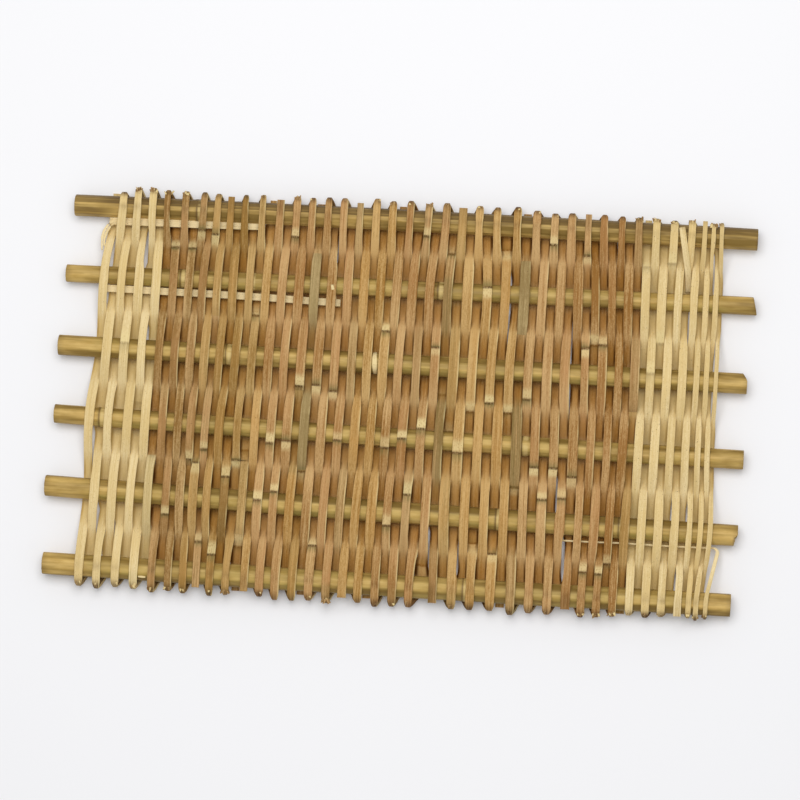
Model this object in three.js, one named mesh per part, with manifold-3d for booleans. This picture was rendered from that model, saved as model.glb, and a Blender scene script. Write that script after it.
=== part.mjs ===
// Bamboo draining mat: six shaved bamboo rods held side by side by long splints woven over and under them.
// Millimetres. X runs along the rods, Y from the lower rod to the upper one, Z up. Rod 1 is the upper edge.
import * as THREE from "three";
import { mergeVertices } from "three/addons/utils/BufferGeometryUtils.js";
import Module from "manifold-3d";

const wasm = await Module();
wasm.setup();

// Rods. They are shaved and laid by hand, so each list gives how the rods in turn differ from the main size.
const ROD_DIAMETER = 11.8; // across the shaved flats
const DIAMETER_DIFFERENCES = [0.4, -1.2, 0.4, -0.4, 0.1, 0.8];
const ROD_SPACING = 42.1; // from each axis to the next
const SPACING_DIFFERENCES = [-3.0, 1.9, 0.1, 1.3, -0.3];
const LEFT_OVERHANG = 19.8; // rod outside the weave
const LEFT_DIFFERENCES = [-1.4, 0.4, 1.0, -0.2, 1.4, -1.2];
const RIGHT_OVERHANG = 14.7;
const RIGHT_DIFFERENCES = [0.2, 1.5, -1.1, 0.1, 0.1, -0.9];
const ROD_DROPS = [0, -1.0, 2.0, 5.5, 6.0, 2.0]; // how far the right end lies below the left end
const EDGE_EASE = 0.5; // flat worn on each long edge of a rod
const RACK = 5.4; // how far rod 1 is pushed to the right of rod 6: the mat lies a little out of square

// Trimming of three rod ends, at the right
const SLANT_DEPTH = 2.2; // rod 2, saw cut that runs out of square
const SPLINTER_DEPTH = 2.4; // rod 3, corner split off
const SPLINTER_HEIGHT = 4.2;
const NOTCH_DEPTH = 2.0; // rod 5, step left by the saw
const NOTCH_HEIGHT = 4.6;

// Splints
const THICKNESS = 1.2;
const CLEARANCE = 0.3; // between pieces that touch
const WEAVE_GAP = 0.36; // between passes lying side by side
const LOOSE_GAP = 0.7; // the same in the first strip, which is woven looser
const CREST_EASE = 3.0; // how far a splint stays level past the flat of the rod it crosses
const TURN_REACH = 4.7; // how far a fold round an end rod stands out past the level stretch there
const CUT_REACH = 2.7; // the same for a square cut end
const TUCK_BEND = 0.8; // inner radius where a tail bends aside

// Widths of the splints, from the left side of the weave to the right
const FIRST_WIDTH = 4.4; // the pale splint at the left and its tail
const SLIM_WIDTH = 4.2;
const MIDDLE_WIDTH = 4.6;
const BROAD_WIDTH = 5.05;
const LATE_WIDTH = 4.35;
const NARROW_WIDTH = 2.9; // the last splint, in its first pass
const NARROW_END_WIDTH = 2.1; // and in its last pass

// Loose ends
const FIRST_TAIL_REACH = 88.5; // along rod 1, from the first pass
const TUCKED_WIDTH = 4.2; // the splint laid in along rod 2
const TUCKED_LENGTH = 142;
const LAST_TAIL_WIDTH = 1.3; // the last splint is split thin for its tail
const LAST_TAIL_LEAN = 5.0; // how far it leans out before it bends
const LAST_TAIL_REACH = 87.5; // along rod 5, from the last pass
const LEANING_WIDTH = 3.2; // the end that leans over rod 1
const LEANING_SLANT = 4.7; // from its cut end to its foot
const LEANING_INSET = 23.5; // from the right side of the weave to its foot

// Facets of a fold round an end rod, and of a tail's bend
const TURN_STEPS = 6;
const BEND_STEPS = 4;

const RODS = DIAMETER_DIFFERENCES.length;
const UP = 1;
const DOWN = -1;

// Each splint in weaving order: first and last pass, the heading of its first pass, and its width.
// A start or finish is a lap with the next splint on a rod's crossing, where one lies on top and the other
// under it, or a tail tucked beside a rod. An end with neither is cut square just past an end rod.
const top = (rod) => ({ lap: true, rod, onTop: true });
const under = (rod) => ({ lap: true, rod, onTop: false });
const FIRST_TAIL = { rod: 1, side: 1, reach: FIRST_TAIL_REACH, lean: 0, tipWidth: FIRST_WIDTH };
const LAST_TAIL = {
  rod: 5,
  side: -1,
  reach: LAST_TAIL_REACH,
  lean: LAST_TAIL_LEAN,
  tipWidth: LAST_TAIL_WIDTH,
};

const STRIPS = [
  { name: "pale_left_strip", tone: "pale", passes: [1, 8], heading: DOWN, width: FIRST_WIDTH, gap: LOOSE_GAP,
    start: FIRST_TAIL, finish: top(5) },
  { name: "brown_strip_01", tone: "brown", passes: [8, 13], heading: UP, width: SLIM_WIDTH,
    start: under(5), finish: top(4) },
  { name: "brown_strip_02", tone: "honey", passes: [13, 15], heading: DOWN, width: SLIM_WIDTH,
    start: under(4), finish: top(2) },
  { name: "brown_strip_03", tone: "brown", passes: [15, 15], heading: DOWN, width: SLIM_WIDTH,
    start: under(2) },
  { name: "brown_strip_04", tone: "honey", passes: [16, 20], heading: DOWN, width: SLIM_WIDTH,
    finish: top(5) },
  { name: "brown_strip_05", tone: "brown", passes: [20, 20], heading: DOWN, width: SLIM_WIDTH,
    start: under(5) },
  { name: "brown_strip_06", tone: "honey", passes: [21, 21], heading: UP, width: MIDDLE_WIDTH },
  { name: "brown_strip_07", tone: "brown", passes: [22, 26], heading: DOWN, width: MIDDLE_WIDTH,
    finish: top(3) },
  { name: "brown_strip_08", tone: "honey", passes: [26, 27], heading: DOWN, width: MIDDLE_WIDTH,
    start: under(3), finish: under(4) },
  { name: "grey_strip_1", tone: "grey", passes: [27, 27], heading: UP, width: MIDDLE_WIDTH,
    start: top(4), finish: top(2) },
  { name: "brown_strip_09", tone: "brown", passes: [27, 27], heading: UP, width: MIDDLE_WIDTH,
    start: under(2) },
  { name: "brown_strip_10", tone: "brown", passes: [28, 32], heading: UP, width: MIDDLE_WIDTH },
  { name: "brown_strip_11", tone: "honey", passes: [33, 36], heading: UP, width: MIDDLE_WIDTH },
  { name: "brown_strip_12", tone: "brown", passes: [37, 43], heading: DOWN, width: MIDDLE_WIDTH },
  { name: "brown_strip_13", tone: "honey", passes: [44, 50], heading: DOWN, width: BROAD_WIDTH },
  { name: "brown_strip_14", tone: "brown", passes: [51, 57], heading: DOWN, width: BROAD_WIDTH },
  { name: "grey_strip_2", tone: "grey", passes: [51, 51], heading: DOWN, width: BROAD_WIDTH,
    start: top(2), finish: top(2) },
  { name: "brown_strip_15", tone: "brown", passes: [58, 64], heading: DOWN, width: LATE_WIDTH,
    finish: top(3) },
  { name: "brown_strip_16", tone: "honey", passes: [64, 64], heading: DOWN, width: LATE_WIDTH,
    start: under(3) },
  { name: "pale_right_strip", tone: "pale", passes: [65, 71], heading: DOWN, width: LATE_WIDTH },
  { name: "narrow_strip", tone: "pale", passes: [72, 77], heading: DOWN, width: NARROW_WIDTH,
    endWidth: NARROW_END_WIDTH, finish: LAST_TAIL },
];

const TONES = {
  rod: { color: 0xa88a4c, roughness: 0.5 },
  pale: { color: 0xdcc48c, roughness: 0.62 },
  brown: { color: 0xb48a5e, roughness: 0.66 },
  honey: { color: 0xc29a5c, roughness: 0.64 },
  grey: { color: 0x9a8c66, roughness: 0.7 },
};

const { lerp } = THREE.MathUtils;
const ease = (share) => (1 - Math.cos(Math.PI * share)) / 2;

function named(name, tone, geometry) {
  const mesh = new THREE.Mesh(geometry, new THREE.MeshStandardMaterial({ ...TONES[tone], metalness: 0 }));
  mesh.name = name;
  return mesh;
}

// Passes side by side: widths first, then centres, with the weave's middle at X = 0
const LAST_PASS = STRIPS.at(-1).passes[1];

function widthAt(strip, pass) {
  const [first, last] = strip.passes;
  return strip.endWidth ? lerp(strip.width, strip.endWidth, (pass - first) / (last - first)) : strip.width;
}

const passWidths = [0];
const passGaps = [0];
for (let pass = 1; pass <= LAST_PASS; pass++) {
  const strip = STRIPS.find(({ passes }) => passes[0] <= pass && pass <= passes[1]);
  passWidths.push(widthAt(strip, pass));
  passGaps.push(strip.gap ?? WEAVE_GAP);
}

const passCentres = [0];
let woven = 0;
for (let pass = 1; pass <= LAST_PASS; pass++) {
  passCentres.push(woven + passWidths[pass] / 2);
  woven += passWidths[pass] + (pass < LAST_PASS ? passGaps[pass] : 0);
}
const passX = (pass) => passCentres[pass] - woven / 2;

// Rods: every underside lies one splint and one clearance above the ground
const diameter = (rod) => ROD_DIAMETER + DIAMETER_DIFFERENCES[rod - 1];
const radius = (rod) => diameter(rod) / 2;
const rodFlatHalf = (rod) => radius(rod) * Math.tan(Math.PI / 8);
const levelHalf = (rod) => rodFlatHalf(rod) + CREST_EASE; // half of a splint's level stretch on a rod
const axisZ = (rod) => THICKNESS + CLEARANCE + radius(rod);
const seatHalf = (rod) => radius(rod) + CLEARANCE + THICKNESS / 2; // from an axis to a splint's middle
const rodLeft = (rod) => -woven / 2 - LEFT_OVERHANG - LEFT_DIFFERENCES[rod - 1];
const rodRight = (rod) => woven / 2 + RIGHT_OVERHANG + RIGHT_DIFFERENCES[rod - 1];
const rodLength = (rod) => rodRight(rod) - rodLeft(rod);
const rodSlope = (rod) => -ROD_DROPS[rod - 1] / rodLength(rod);

const stepsTo = (rod) =>
  SPACING_DIFFERENCES.slice(0, rod - 1).reduce((sum, difference) => sum + ROD_SPACING + difference, 0);
const halfSpan = stepsTo(RODS) / 2;
const axisY = (rod) => halfSpan - stepsTo(rod);
const rodY = (rod, x) => axisY(rod) + rodSlope(rod) * x;

// An octagon with flats on all four sides and a worn flat on each corner
function rodSection(rod) {
  const flat = radius(rod);
  const corner = rodFlatHalf(rod) - EDGE_EASE / 2;
  const points = [];
  for (let side = 0; side < 8; side++) {
    const turn = (side * Math.PI) / 4;
    const middle = new THREE.Vector2();
    for (const along of [-corner, corner]) {
      points.push(new THREE.Vector2(flat, along).rotateAround(middle, turn));
    }
  }
  return new THREE.Shape(points);
}

const WELD = 1e-4; // corners closer than this are one corner

function solid(geometry) {
  const plain = geometry.clone();
  plain.deleteAttribute("normal");
  plain.deleteAttribute("uv");
  const merged = mergeVertices(plain, WELD);
  return new wasm.Manifold(
    new wasm.Mesh({
      numProp: 3,
      vertProperties: merged.attributes.position.array,
      triVerts: new Uint32Array(merged.index.array),
    }),
  );
}

function cut(geometry, cutter) {
  const mesh = solid(geometry).subtract(solid(cutter)).getMesh();
  const result = new THREE.BufferGeometry();
  result.setAttribute("position", new THREE.BufferAttribute(mesh.vertProperties, 3));
  result.setIndex(new THREE.BufferAttribute(mesh.triVerts, 1));
  return result;
}

// What the saw took off a rod's right end, as an outline seen from above, cut straight through the rod
const SPARE = 1; // how far a cutter stands outside the rod

function endCutter(rod, outline) {
  const shape = new THREE.Shape(outline.map(([x, y]) => new THREE.Vector2(x, y)));
  const depth = diameter(rod) + 2 * SPARE;
  return new THREE.ExtrudeGeometry(shape, { depth, bevelEnabled: false }).translate(0, 0, -depth / 2);
}

const END_CUTS = {
  2: (end, r) => [
    [end - SLANT_DEPTH, r + SPARE],
    [end, -r - SPARE],
    [end + SPARE, -r - SPARE],
    [end + SPARE, r + SPARE],
  ],
  3: (end, r) => [
    [end - SPLINTER_DEPTH, r + SPARE],
    [end, r - SPLINTER_HEIGHT],
    [end + SPARE, r - SPLINTER_HEIGHT],
    [end + SPARE, r + SPARE],
  ],
  5: (end, r) => [
    [end - NOTCH_DEPTH, -r - SPARE],
    [end + SPARE, -r - SPARE],
    [end + SPARE, NOTCH_HEIGHT - r],
    [end - NOTCH_DEPTH, NOTCH_HEIGHT - r],
  ],
};

function makeRod(rod) {
  const length = rodLength(rod);
  let geometry = new THREE.ExtrudeGeometry(rodSection(rod), { depth: length, bevelEnabled: false });
  geometry.rotateY(Math.PI / 2);
  if (END_CUTS[rod]) geometry = cut(geometry, endCutter(rod, END_CUTS[rod](length, radius(rod))));
  const mesh = named(`rod_${rod}`, "rod", geometry);
  mesh.position.set(rodLeft(rod), rodY(rod, rodLeft(rod)), axisZ(rod));
  mesh.rotation.z = Math.atan(rodSlope(rod));
  return mesh;
}

// Splints. A place is a point of a splint's middle line, with the width there and that width's direction,
// the rod whose crossing it sits on, the rods it is near, and whether it is lifted onto a splint it laps.
const ACROSS = new THREE.Vector3(1, 0, 0);

function place(x, y, z, width, across = ACROSS) {
  return { at: new THREE.Vector3(x, y, z), width, across, seat: 0, near: [], lift: 0 };
}

const isOver = (pass, rod) => (pass + rod) % 2 === 1;
const crossingZ = (pass, rod) => axisZ(rod) + (isOver(pass, rod) ? 1 : -1) * seatHalf(rod);
const endRod = (heading) => (heading === DOWN ? RODS : 1);

// One pass over and under all the rods: level on each rod, and a straight slope from one rod to the next
function passPlaces(pass, heading, width, x = passX(pass)) {
  const places = [];
  for (let n = 1; n <= RODS; n++) {
    const rod = heading === DOWN ? n : RODS + 1 - n;
    const z = crossingZ(pass, rod);
    const [enter, leave] = [-1, 1].map((way) => {
      const crossing = place(x, rodY(rod, x) + way * heading * levelHalf(rod), z, width);
      return { ...crossing, seat: rod, near: [rod] };
    });
    const before = places.at(-1);
    if (before) {
      const midway = place(x, (before.at.y + enter.at.y) / 2, (before.at.z + z) / 2, width);
      places.push({ ...midway, near: [before.seat, rod] });
    }
    places.push(enter, leave);
  }
  return places;
}

// Half an oval round an end rod, from one pass to the next
function turnPlaces(pass, heading, width, nextWidth) {
  const rod = endRod(heading);
  const from = isOver(pass, rod) ? 1 : -1;
  const places = [];
  for (let n = 1; n < TURN_STEPS; n++) {
    const share = n / TURN_STEPS;
    const x = lerp(passX(pass), passX(pass + 1), ease(share));
    const out = levelHalf(rod) + TURN_REACH * Math.sin(Math.PI * share);
    const z = axisZ(rod) + from * seatHalf(rod) * Math.cos(Math.PI * share);
    places.push(place(x, rodY(rod, x) + heading * out, z, lerp(width, nextWidth, share)));
  }
  return places;
}

// A square cut end that stands a little past an end rod
function cutPlace(pass, heading, width) {
  const rod = endRod(heading);
  const y = rodY(rod, passX(pass)) + heading * (levelHalf(rod) + CUT_REACH);
  return place(passX(pass), y, crossingZ(pass, rod), width);
}

const tuckedY = (rod, x, width) => rodY(rod, x) - radius(rod) - CLEARANCE - width / 2;

// From the crossing on the rod below, up to a rod's lower side, round a flat bend and along the rod
function tailPlaces({ rod, side, reach, lean, tipWidth }, pass, width) {
  const x = passX(pass);
  const bend = width / 2 + TUCK_BEND;
  const corner = tuckedY(rod, x + lean, width) - bend;
  const places = [];
  for (let n = 0; n <= BEND_STEPS; n++) {
    const share = n / BEND_STEPS;
    const [sine, cosine] = [Math.sin, Math.cos].map((wave) => wave((share * Math.PI) / 2));
    const across = new THREE.Vector3(cosine, -side * sine, 0);
    const bendX = x + lean + side * bend * (1 - cosine);
    places.push(place(bendX, corner + bend * sine, axisZ(rod), lerp(width, tipWidth, share), across));
  }
  const tipX = x + side * reach;
  places.push(place(tipX, tuckedY(rod, tipX, width), axisZ(rod), tipWidth, new THREE.Vector3(0, -side, 0)));
  return places;
}

// Tangents square to the width at each place, and how much a mitred section grows to keep the thickness
function mitres(places) {
  return places.map(({ at, across }, i) => {
    const back = at.clone().sub(places[Math.max(i - 1, 0)].at);
    const ahead = places[Math.min(i + 1, places.length - 1)].at.clone().sub(at);
    for (const step of [back, ahead]) step.addScaledVector(across, -step.dot(across)).normalize();
    const tangent = back.clone().add(ahead).normalize();
    return { tangent, grow: 1 / Math.max(tangent.dot(ahead), tangent.dot(back)) };
  });
}

// The middle line of a splint, with frames that keep its width along the rods all the way round the turns
class SplintCurve extends THREE.Curve {
  constructor(places) {
    super();
    this.places = places;
  }

  getSpacedPoints() {
    return this.places.map(({ at }) => at);
  }

  computeFrenetFrames() {
    const joints = mitres(this.places);
    return {
      tangents: joints.map(({ tangent }) => tangent),
      normals: this.places.map(({ across, width }) => across.clone().multiplyScalar(width)),
      binormals: joints.map(({ tangent, grow }, i) =>
        tangent.clone().cross(this.places[i].across).multiplyScalar(THICKNESS * grow),
      ),
    };
  }
}

// The section has unit sides: the frames along the curve carry its width and thickness
const HALF_UNIT = 0.5;
const SECTION = new THREE.Shape([
  new THREE.Vector2(-HALF_UNIT, -HALF_UNIT),
  new THREE.Vector2(HALF_UNIT, -HALF_UNIT),
  new THREE.Vector2(HALF_UNIT, HALF_UNIT),
  new THREE.Vector2(-HALF_UNIT, HALF_UNIT),
]);

function splint(name, tone, places) {
  const laid = mitres(places).map(({ tangent, grow }, i) => {
    const spot = places[i];
    const normal = tangent.clone().cross(spot.across);
    const rise = Math.sign(normal.z) * spot.lift * (THICKNESS + CLEARANCE) * grow;
    return { ...spot, at: spot.at.clone().addScaledVector(normal, rise) };
  });
  const extrudePath = new SplintCurve(laid);
  return named(name, tone, new THREE.ExtrudeGeometry(SECTION, { steps: laid.length - 1, extrudePath }));
}

// Shapes the far end of a run: cut past an end rod, tucked aside as a tail, or lapped with the next splint
function ended(run, end, pass, heading, width) {
  if (!end) return [...run, cutPlace(pass, heading, width)];
  if (end.side) {
    const crossing = run.findLastIndex(({ seat }) => seat === end.rod + 1);
    return [...run.slice(0, crossing + 1), ...tailPlaces(end, pass, width)];
  }
  return run.slice(0, run.findLastIndex(({ near }) => near.includes(end.rod)) + 1);
}

// Lifts the splint that lies on top in a lap. Places midway between rods are kept only at the ends of a lap.
function lapped(run, laps) {
  const inLap = ({ near }, lap) => near.includes(lap.rod);
  for (const spot of run) {
    if (laps.some((lap) => lap.onTop && inLap(spot, lap))) spot.lift = 1;
  }
  return run.filter((spot) => spot.near.length < 2 || laps.some((lap) => inLap(spot, lap)));
}

function makeStrip(strip) {
  const { name, tone, passes: [first, last], heading, start, finish } = strip;
  const places = [];
  let way = heading;
  for (let pass = first; pass <= last; pass++) {
    const width = widthAt(strip, pass);
    const laps = [];
    let run = passPlaces(pass, way, width);
    if (pass === first) {
      run = ended(run.reverse(), start, pass, -way, width).reverse();
      if (start?.lap) laps.push(start);
    }
    if (pass === last) {
      run = ended(run, finish, pass, way, width);
      if (finish?.lap) laps.push(finish);
    }
    places.push(...lapped(run, laps));
    if (pass < last) places.push(...turnPlaces(pass, way, width, widthAt(strip, pass + 1)));
    way = -way;
  }
  return splint(name, tone, places);
}

// A straight splint laid in along the lower side of rod 2, between the passes in front of it and behind it
function makeTuckedStrip() {
  const rod = 2;
  const across = new THREE.Vector3(0, -1, 0);
  const start = -woven / 2;
  const places = [start, start + TUCKED_LENGTH].map((x) =>
    place(x, tuckedY(rod, x, TUCKED_WIDTH), axisZ(rod), TUCKED_WIDTH, across),
  );
  return splint("tucked_strip", "pale", places);
}

// A loose end that lies on the crossings over rod 1, slanting, and ends halfway down the slope to rod 2
function makeLeaningEnd() {
  const pass = 2;
  const foot = woven / 2 - LEANING_INSET;
  const slope = passPlaces(pass, DOWN, LEANING_WIDTH, foot).filter(({ near }) => near.includes(1));
  const places = [cutPlace(pass, UP, LEANING_WIDTH), ...slope];
  places.forEach((spot, i) => {
    spot.at.x = foot - LEANING_SLANT * (1 - i / (places.length - 1));
    spot.lift = 1;
  });
  return splint("leaning_strip", "pale", places);
}

const weave = new THREE.Group();
for (let rod = 1; rod <= RODS; rod++) weave.add(makeRod(rod));
for (const strip of STRIPS) weave.add(makeStrip(strip));
weave.add(makeTuckedStrip(), makeLeaningEnd());

// The whole weave is racked: each rod lies a little further to the right than the one below it
weave.matrixAutoUpdate = false;
weave.matrix.makeShear(0, 0, RACK / (2 * halfSpan), 0, 0, 0);

// The origin is on the ground, under the middle of the mat
const mat = new THREE.Group();
const centred = new THREE.Group();
mat.add(centred);
centred.add(weave);
const middle = new THREE.Box3().setFromObject(centred, true).getCenter(new THREE.Vector3());
centred.position.set(-middle.x, -middle.y, 0);

export default mat;
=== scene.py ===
"""Dresses the woven bamboo draining mat: shaved rods, woven splints, their loose ends, and the stage."""

import math
from dataclasses import dataclass

import bpy
from bpy.props import FloatProperty, FloatVectorProperty, PointerProperty
from mathutils import Matrix, Vector, noise


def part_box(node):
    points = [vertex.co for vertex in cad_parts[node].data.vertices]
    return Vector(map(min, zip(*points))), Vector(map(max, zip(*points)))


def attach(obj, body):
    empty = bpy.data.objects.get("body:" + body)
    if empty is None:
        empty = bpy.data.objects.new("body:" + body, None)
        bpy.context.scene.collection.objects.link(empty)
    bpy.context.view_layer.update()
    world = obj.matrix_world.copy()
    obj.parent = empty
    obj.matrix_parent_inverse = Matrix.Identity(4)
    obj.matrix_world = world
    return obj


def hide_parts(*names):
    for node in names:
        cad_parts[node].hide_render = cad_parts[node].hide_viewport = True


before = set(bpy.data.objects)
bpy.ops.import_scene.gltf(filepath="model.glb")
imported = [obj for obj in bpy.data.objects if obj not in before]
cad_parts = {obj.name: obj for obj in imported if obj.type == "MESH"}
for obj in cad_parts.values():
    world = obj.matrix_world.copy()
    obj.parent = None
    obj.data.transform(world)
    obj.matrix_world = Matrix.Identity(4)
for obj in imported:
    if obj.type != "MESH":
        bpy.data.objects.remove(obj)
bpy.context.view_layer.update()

bl_info = {
    "name": "Woven Bamboo Mat",
    "version": (1, 0, 0),
    "blender": (4, 5, 0),
    "location": "View3D > Sidebar > Bamboo Mat",
    "description": "Shaves the rods, weaves the splints and sets the stage of a bamboo draining mat",
    "category": "Add Mesh",
}

MM = 0.001  # lengths below are in millimetres, as a weaver would give them
BODY = "root"
UP, DOWN = 1, -1
X_AXIS = Vector((1, 0, 0))

# The weave, as in the frame: how far the mat is racked, and the splints' thickness, clearance and gaps
RACK = 5.4
THICKNESS = 1.2
CLEARANCE = 0.3
WEAVE_GAP = 0.36
LOOSE_GAP = 0.7
CREST_EASE = 3.0
TURN_REACH = 4.7
CUT_REACH = 2.7
TUCK_BEND = 1.7
ROD_DROPS = (0.6, -1.0, 2.0, 5.5, 7.2, 2.0)  # how far each rod's right end lies below its left end
ROD_SHIFTS = (0.4, 0, 0, 0, 0.2, -0.8)  # how far each rod lies above its place in the frame
ROD_SAGS = (-0.8, 0, 0.2, 0.8, 0.9, 0.8)  # how far each rod bows down in its middle
ROD_ROLLS = (1, 0, 3, 3, 9, 2)  # degrees that each rod is rolled towards the lower edge
ROD_BREADTHS = (1.08, 1, 1, 1, 1.05, 1.07)  # how much broader than high each rod is shaved
RODS = len(ROD_DROPS)
FLATS = 8  # of a rod's section

# Trimmed right ends of rods 1, 2, 3 and 5
SHORT_CUT = 1.6
SLANT_DEPTH = 2.2
SPLINTER_DEPTH, SPLINTER_HEIGHT = 2.4, 4.2
NOTCH_DEPTH, NOTCH_HEIGHT = 2.0, 4.6

# Widths of the splints, from the left side of the weave to the right
FIRST_WIDTH = 4.4
SLIM_WIDTH = 4.2
MIDDLE_WIDTH = 4.6
BROAD_WIDTH = 5.05
LATE_WIDTH = 4.35
NARROW_WIDTH, NARROW_END_WIDTH = 2.9, 2.1

# Loose ends
FIRST_TAIL_REACH, FIRST_TAIL_RISE = 88.5, 0.8
TUCKED_WIDTH, TUCKED_DROP = 4.2, 2.0
CURL_WIDTH, CURL_THICKNESS, CURL_TIP = 1.5, 0.6, 0.7
LAST_TAIL_WIDTH, LAST_TAIL_LEAN, LAST_TAIL_REACH = 1.0, 5.0, 87.5
TAIL_GAP, TAIL_SLACK = 0.8, 1.4
LEANING_WIDTH, LEANING_SLANT, LEANING_INSET = 3.6, 4.7, 26
LEANING_FOOT, LEANING_DRIFT = 12, 1.0  # the straighter foot of the leaning end: its length and drift
LEANING_TOP = 3.8  # how far past the middle of rod 1 the leaning end is cut

# What hand work adds to the plain weave
WIDER = 0.55  # a splint is wider on its crossings than the pitch leaves room for midway
COVER = 0.3  # how far a splint reaches under its neighbours
PEEK = 1.3  # how much further it reaches under the one at its left
LEAN = 0.4  # how far crossings over the rods sit right of those under them, at the left side
UNEVEN = 0.1  # how much splints differ in width
PINCH = {UP: 0.18, DOWN: 0.06}  # how much narrower a splint is in its folds at the upper and lower edge
HAIR = 0.06  # what is left between neighbours midway
WANDER = 0.25  # how far any crossing strays along its rod
FAN = 0.9  # how much wider the weave is at the lower edge, on each side
STEP = 2.6  # between rings of a splint
TURN_STEPS = 18
TIP_START = 0.68  # share of a fold's reach past which its tip is rounded
BEND_STEPS = 8
LEAST_ROOM = 0.5  # between a splint's middle and its side
LAP_SPREAD = 6  # how much the ends of laps differ in place
LAP_EASE, LAP_PAST = 6, 1  # how far inside a lap's end its lift starts to fall, and how far past it ends
CUT_SPREAD = 1.2  # how much the cut ends past an edge rod differ in reach
FOLD_SPREAD = 1.8  # how much the folds differ in reach
END_STAIN = 0.35  # on the cut ends of a splint
MARK_HALF = 3.0  # half the height of a bamboo node's pale band
MARK_SWELL = 0.3
MARK_STEP = 0.25 * MARK_HALF  # between rings round a node
MARK_STEPS = 20
MARK_REACH = 5.2 * MARK_HALF  # from a node to the next even ring
LINE_HALF, SWELL_HALF = 0.9, 1.2  # half the height of a node's dark line and of its swelling

# How far the rows of crossings stray to the right along each rod:
# the passes where a row turns, and its stray there
STRAYS = {
    1: ((2, 2), (8, -2.5), (12, 0.5), (18, -2.5), (22, 0), (28, -2), (36, -3.5), (43, -1.5), (47, -4),
        (53, -1.5), (59, -4.5), (70, 0), (75, -3)),
    2: ((1, 0), (11, 0), (16, -1.5), (21, 0), (33, -2), (40, -3.5), (47, -1), (52, -0.5), (57, -2),
        (67, -0.5), (75, -1.5)),
    3: ((2, 0.5), (12, 0.5), (16, -0.5), (20, 0.5), (26, -0.5), (32, -0.5), (38, -3), (44, -0.5),
        (56, -0.5), (60, 1), (70, 0.5), (74, -1)),
    4: ((1, -1), (5, 1.5), (11, 1.5), (17, -1.5), (21, 1), (25, 0), (33, 0), (38, -2.5), (44, -0.5),
        (49, 1), (61, 2), (74, 0)),
    5: ((2, 1.5), (8, 2), (10, 3), (16, -0.5), (20, 2), (24, 0.5), (32, 0), (38, -2.5), (42, 0),
        (49, 2.5), (60, 3), (64, 1.5), (76, 2)),
    6: ((1, 1.5), (6, 3), (12, 4), (18, 0), (21, 2.5), (26, 0.5), (32, 0.5), (36, -1), (41, -1),
        (43, 3), (47, 3), (51, 4.5), (57, 4), (60, 2.5), (71, 2), (75, -0.5)),
}

# Bamboo nodes on the splints: pass, and how far below rod 1 each one lies
NODE_MARKS = {
    4: (76.5,), 6: (110.5,), 9: (20.5,), 10: (176.5,), 11: (20.5,), 12: (14.5,), 13: (143,),
    14: (17, 151.5), 15: (137.5, 191.5), 17: (197.5,), 18: (152.5,), 19: (147.5,), 20: (57, 137, 192),
    22: (165.5,), 23: (131.5,), 24: (10.5, 160.5), 25: (135.5,), 26: (96.5,), 27: (153,), 28: (101.5,),
    29: (190.5,), 30: (104.5,), 31: (128.5,), 36: (63.5,), 37: (130.5,), 38: (175.5,), 39: (125.5,),
    40: (6.5, 156.5), 41: (118.5,), 42: (76.5, 203.5), 43: (15.5, 98.5), 44: (118.5,), 45: (130.5,),
    46: (106.5,), 47: (40.5, 189.5), 48: (101.5,), 49: (17.5, 194.5), 50: (106.5,), 51: (154.5,),
    52: (97.5,), 53: (142.5,), 54: (7.5, 156.5), 55: (142.5,), 56: (154.5,), 57: (147.5,),
    58: (17.5, 72.5), 59: (63.5, 196.5), 60: (64.5,), 61: (197.5,), 62: (190.5,), 65: (17.5,),
    66: (78.5,), 67: (59.5,), 68: (13.5,),
}
# Passes whose nodes have their dark line above the pale band
LINE_ABOVE = (12, 14, 19, 25, 27, 28, 30, 42, 47, 49, 51, 53, 55, 57, 58)

# Slits of daylight: the pass at their left, how far below rod 1, half their length, and their width
SLITS = (
    (1, 29, 14, 0.9), (1, 144, 16, 0.9), (5, 23, 13, 1.6), (29, 17, 12, 0.7), (42, 190, 14, 0.9),
    (45, 195, 12, 0.8), (49, 48, 26, 0.7), (55, 155, 13, 1.0), (56, 80, 32, 0.6), (56, 192, 14, 1.7),
    (70, 51, 12, 0.8), (74, 20, 14, 0.9), (75, 84, 22, 0.8), (1, 51, 8, 0.5), (6, 75, 8, 0.4),
    (2, 184, 10, 0.8), (4, 196, 14, 0.6), (69, 163, 9, 0.8), (71, 165, 10, 1.0), (70, 203, 9, 1.0),
    (76, 200, 10, 0.8),
)


def millimetres(vector):
    return Vector(vector) / MM


def lerp(a, b, share):
    return a + (b - a) * share


def smooth(low, high, value):
    share = min(max((value - low) / (high - low), 0), 1)
    return share * share * (3 - 2 * share)


def bump(distance, half):
    """1 at the middle of a band, falling softly to 0 at its edges."""
    return 1 - smooth(0.6 * half, 1.2 * half, abs(distance))


SCATTER = (12.9898, 78.233, 37.719)  # weights that spread the keys of a chance
SCATTER_SPAN = 43758.5453


def chance(*keys):
    """A number from 0 to 1 that depends on the keys alone."""
    value = math.sin(sum(key * weight for key, weight in zip(keys, SCATTER))) * SCATTER_SPAN
    return value - math.floor(value)


def drift(*place):
    """Slow change along a splint or a rod, from -1 to 1."""
    return noise.noise(Vector(place))


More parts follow.
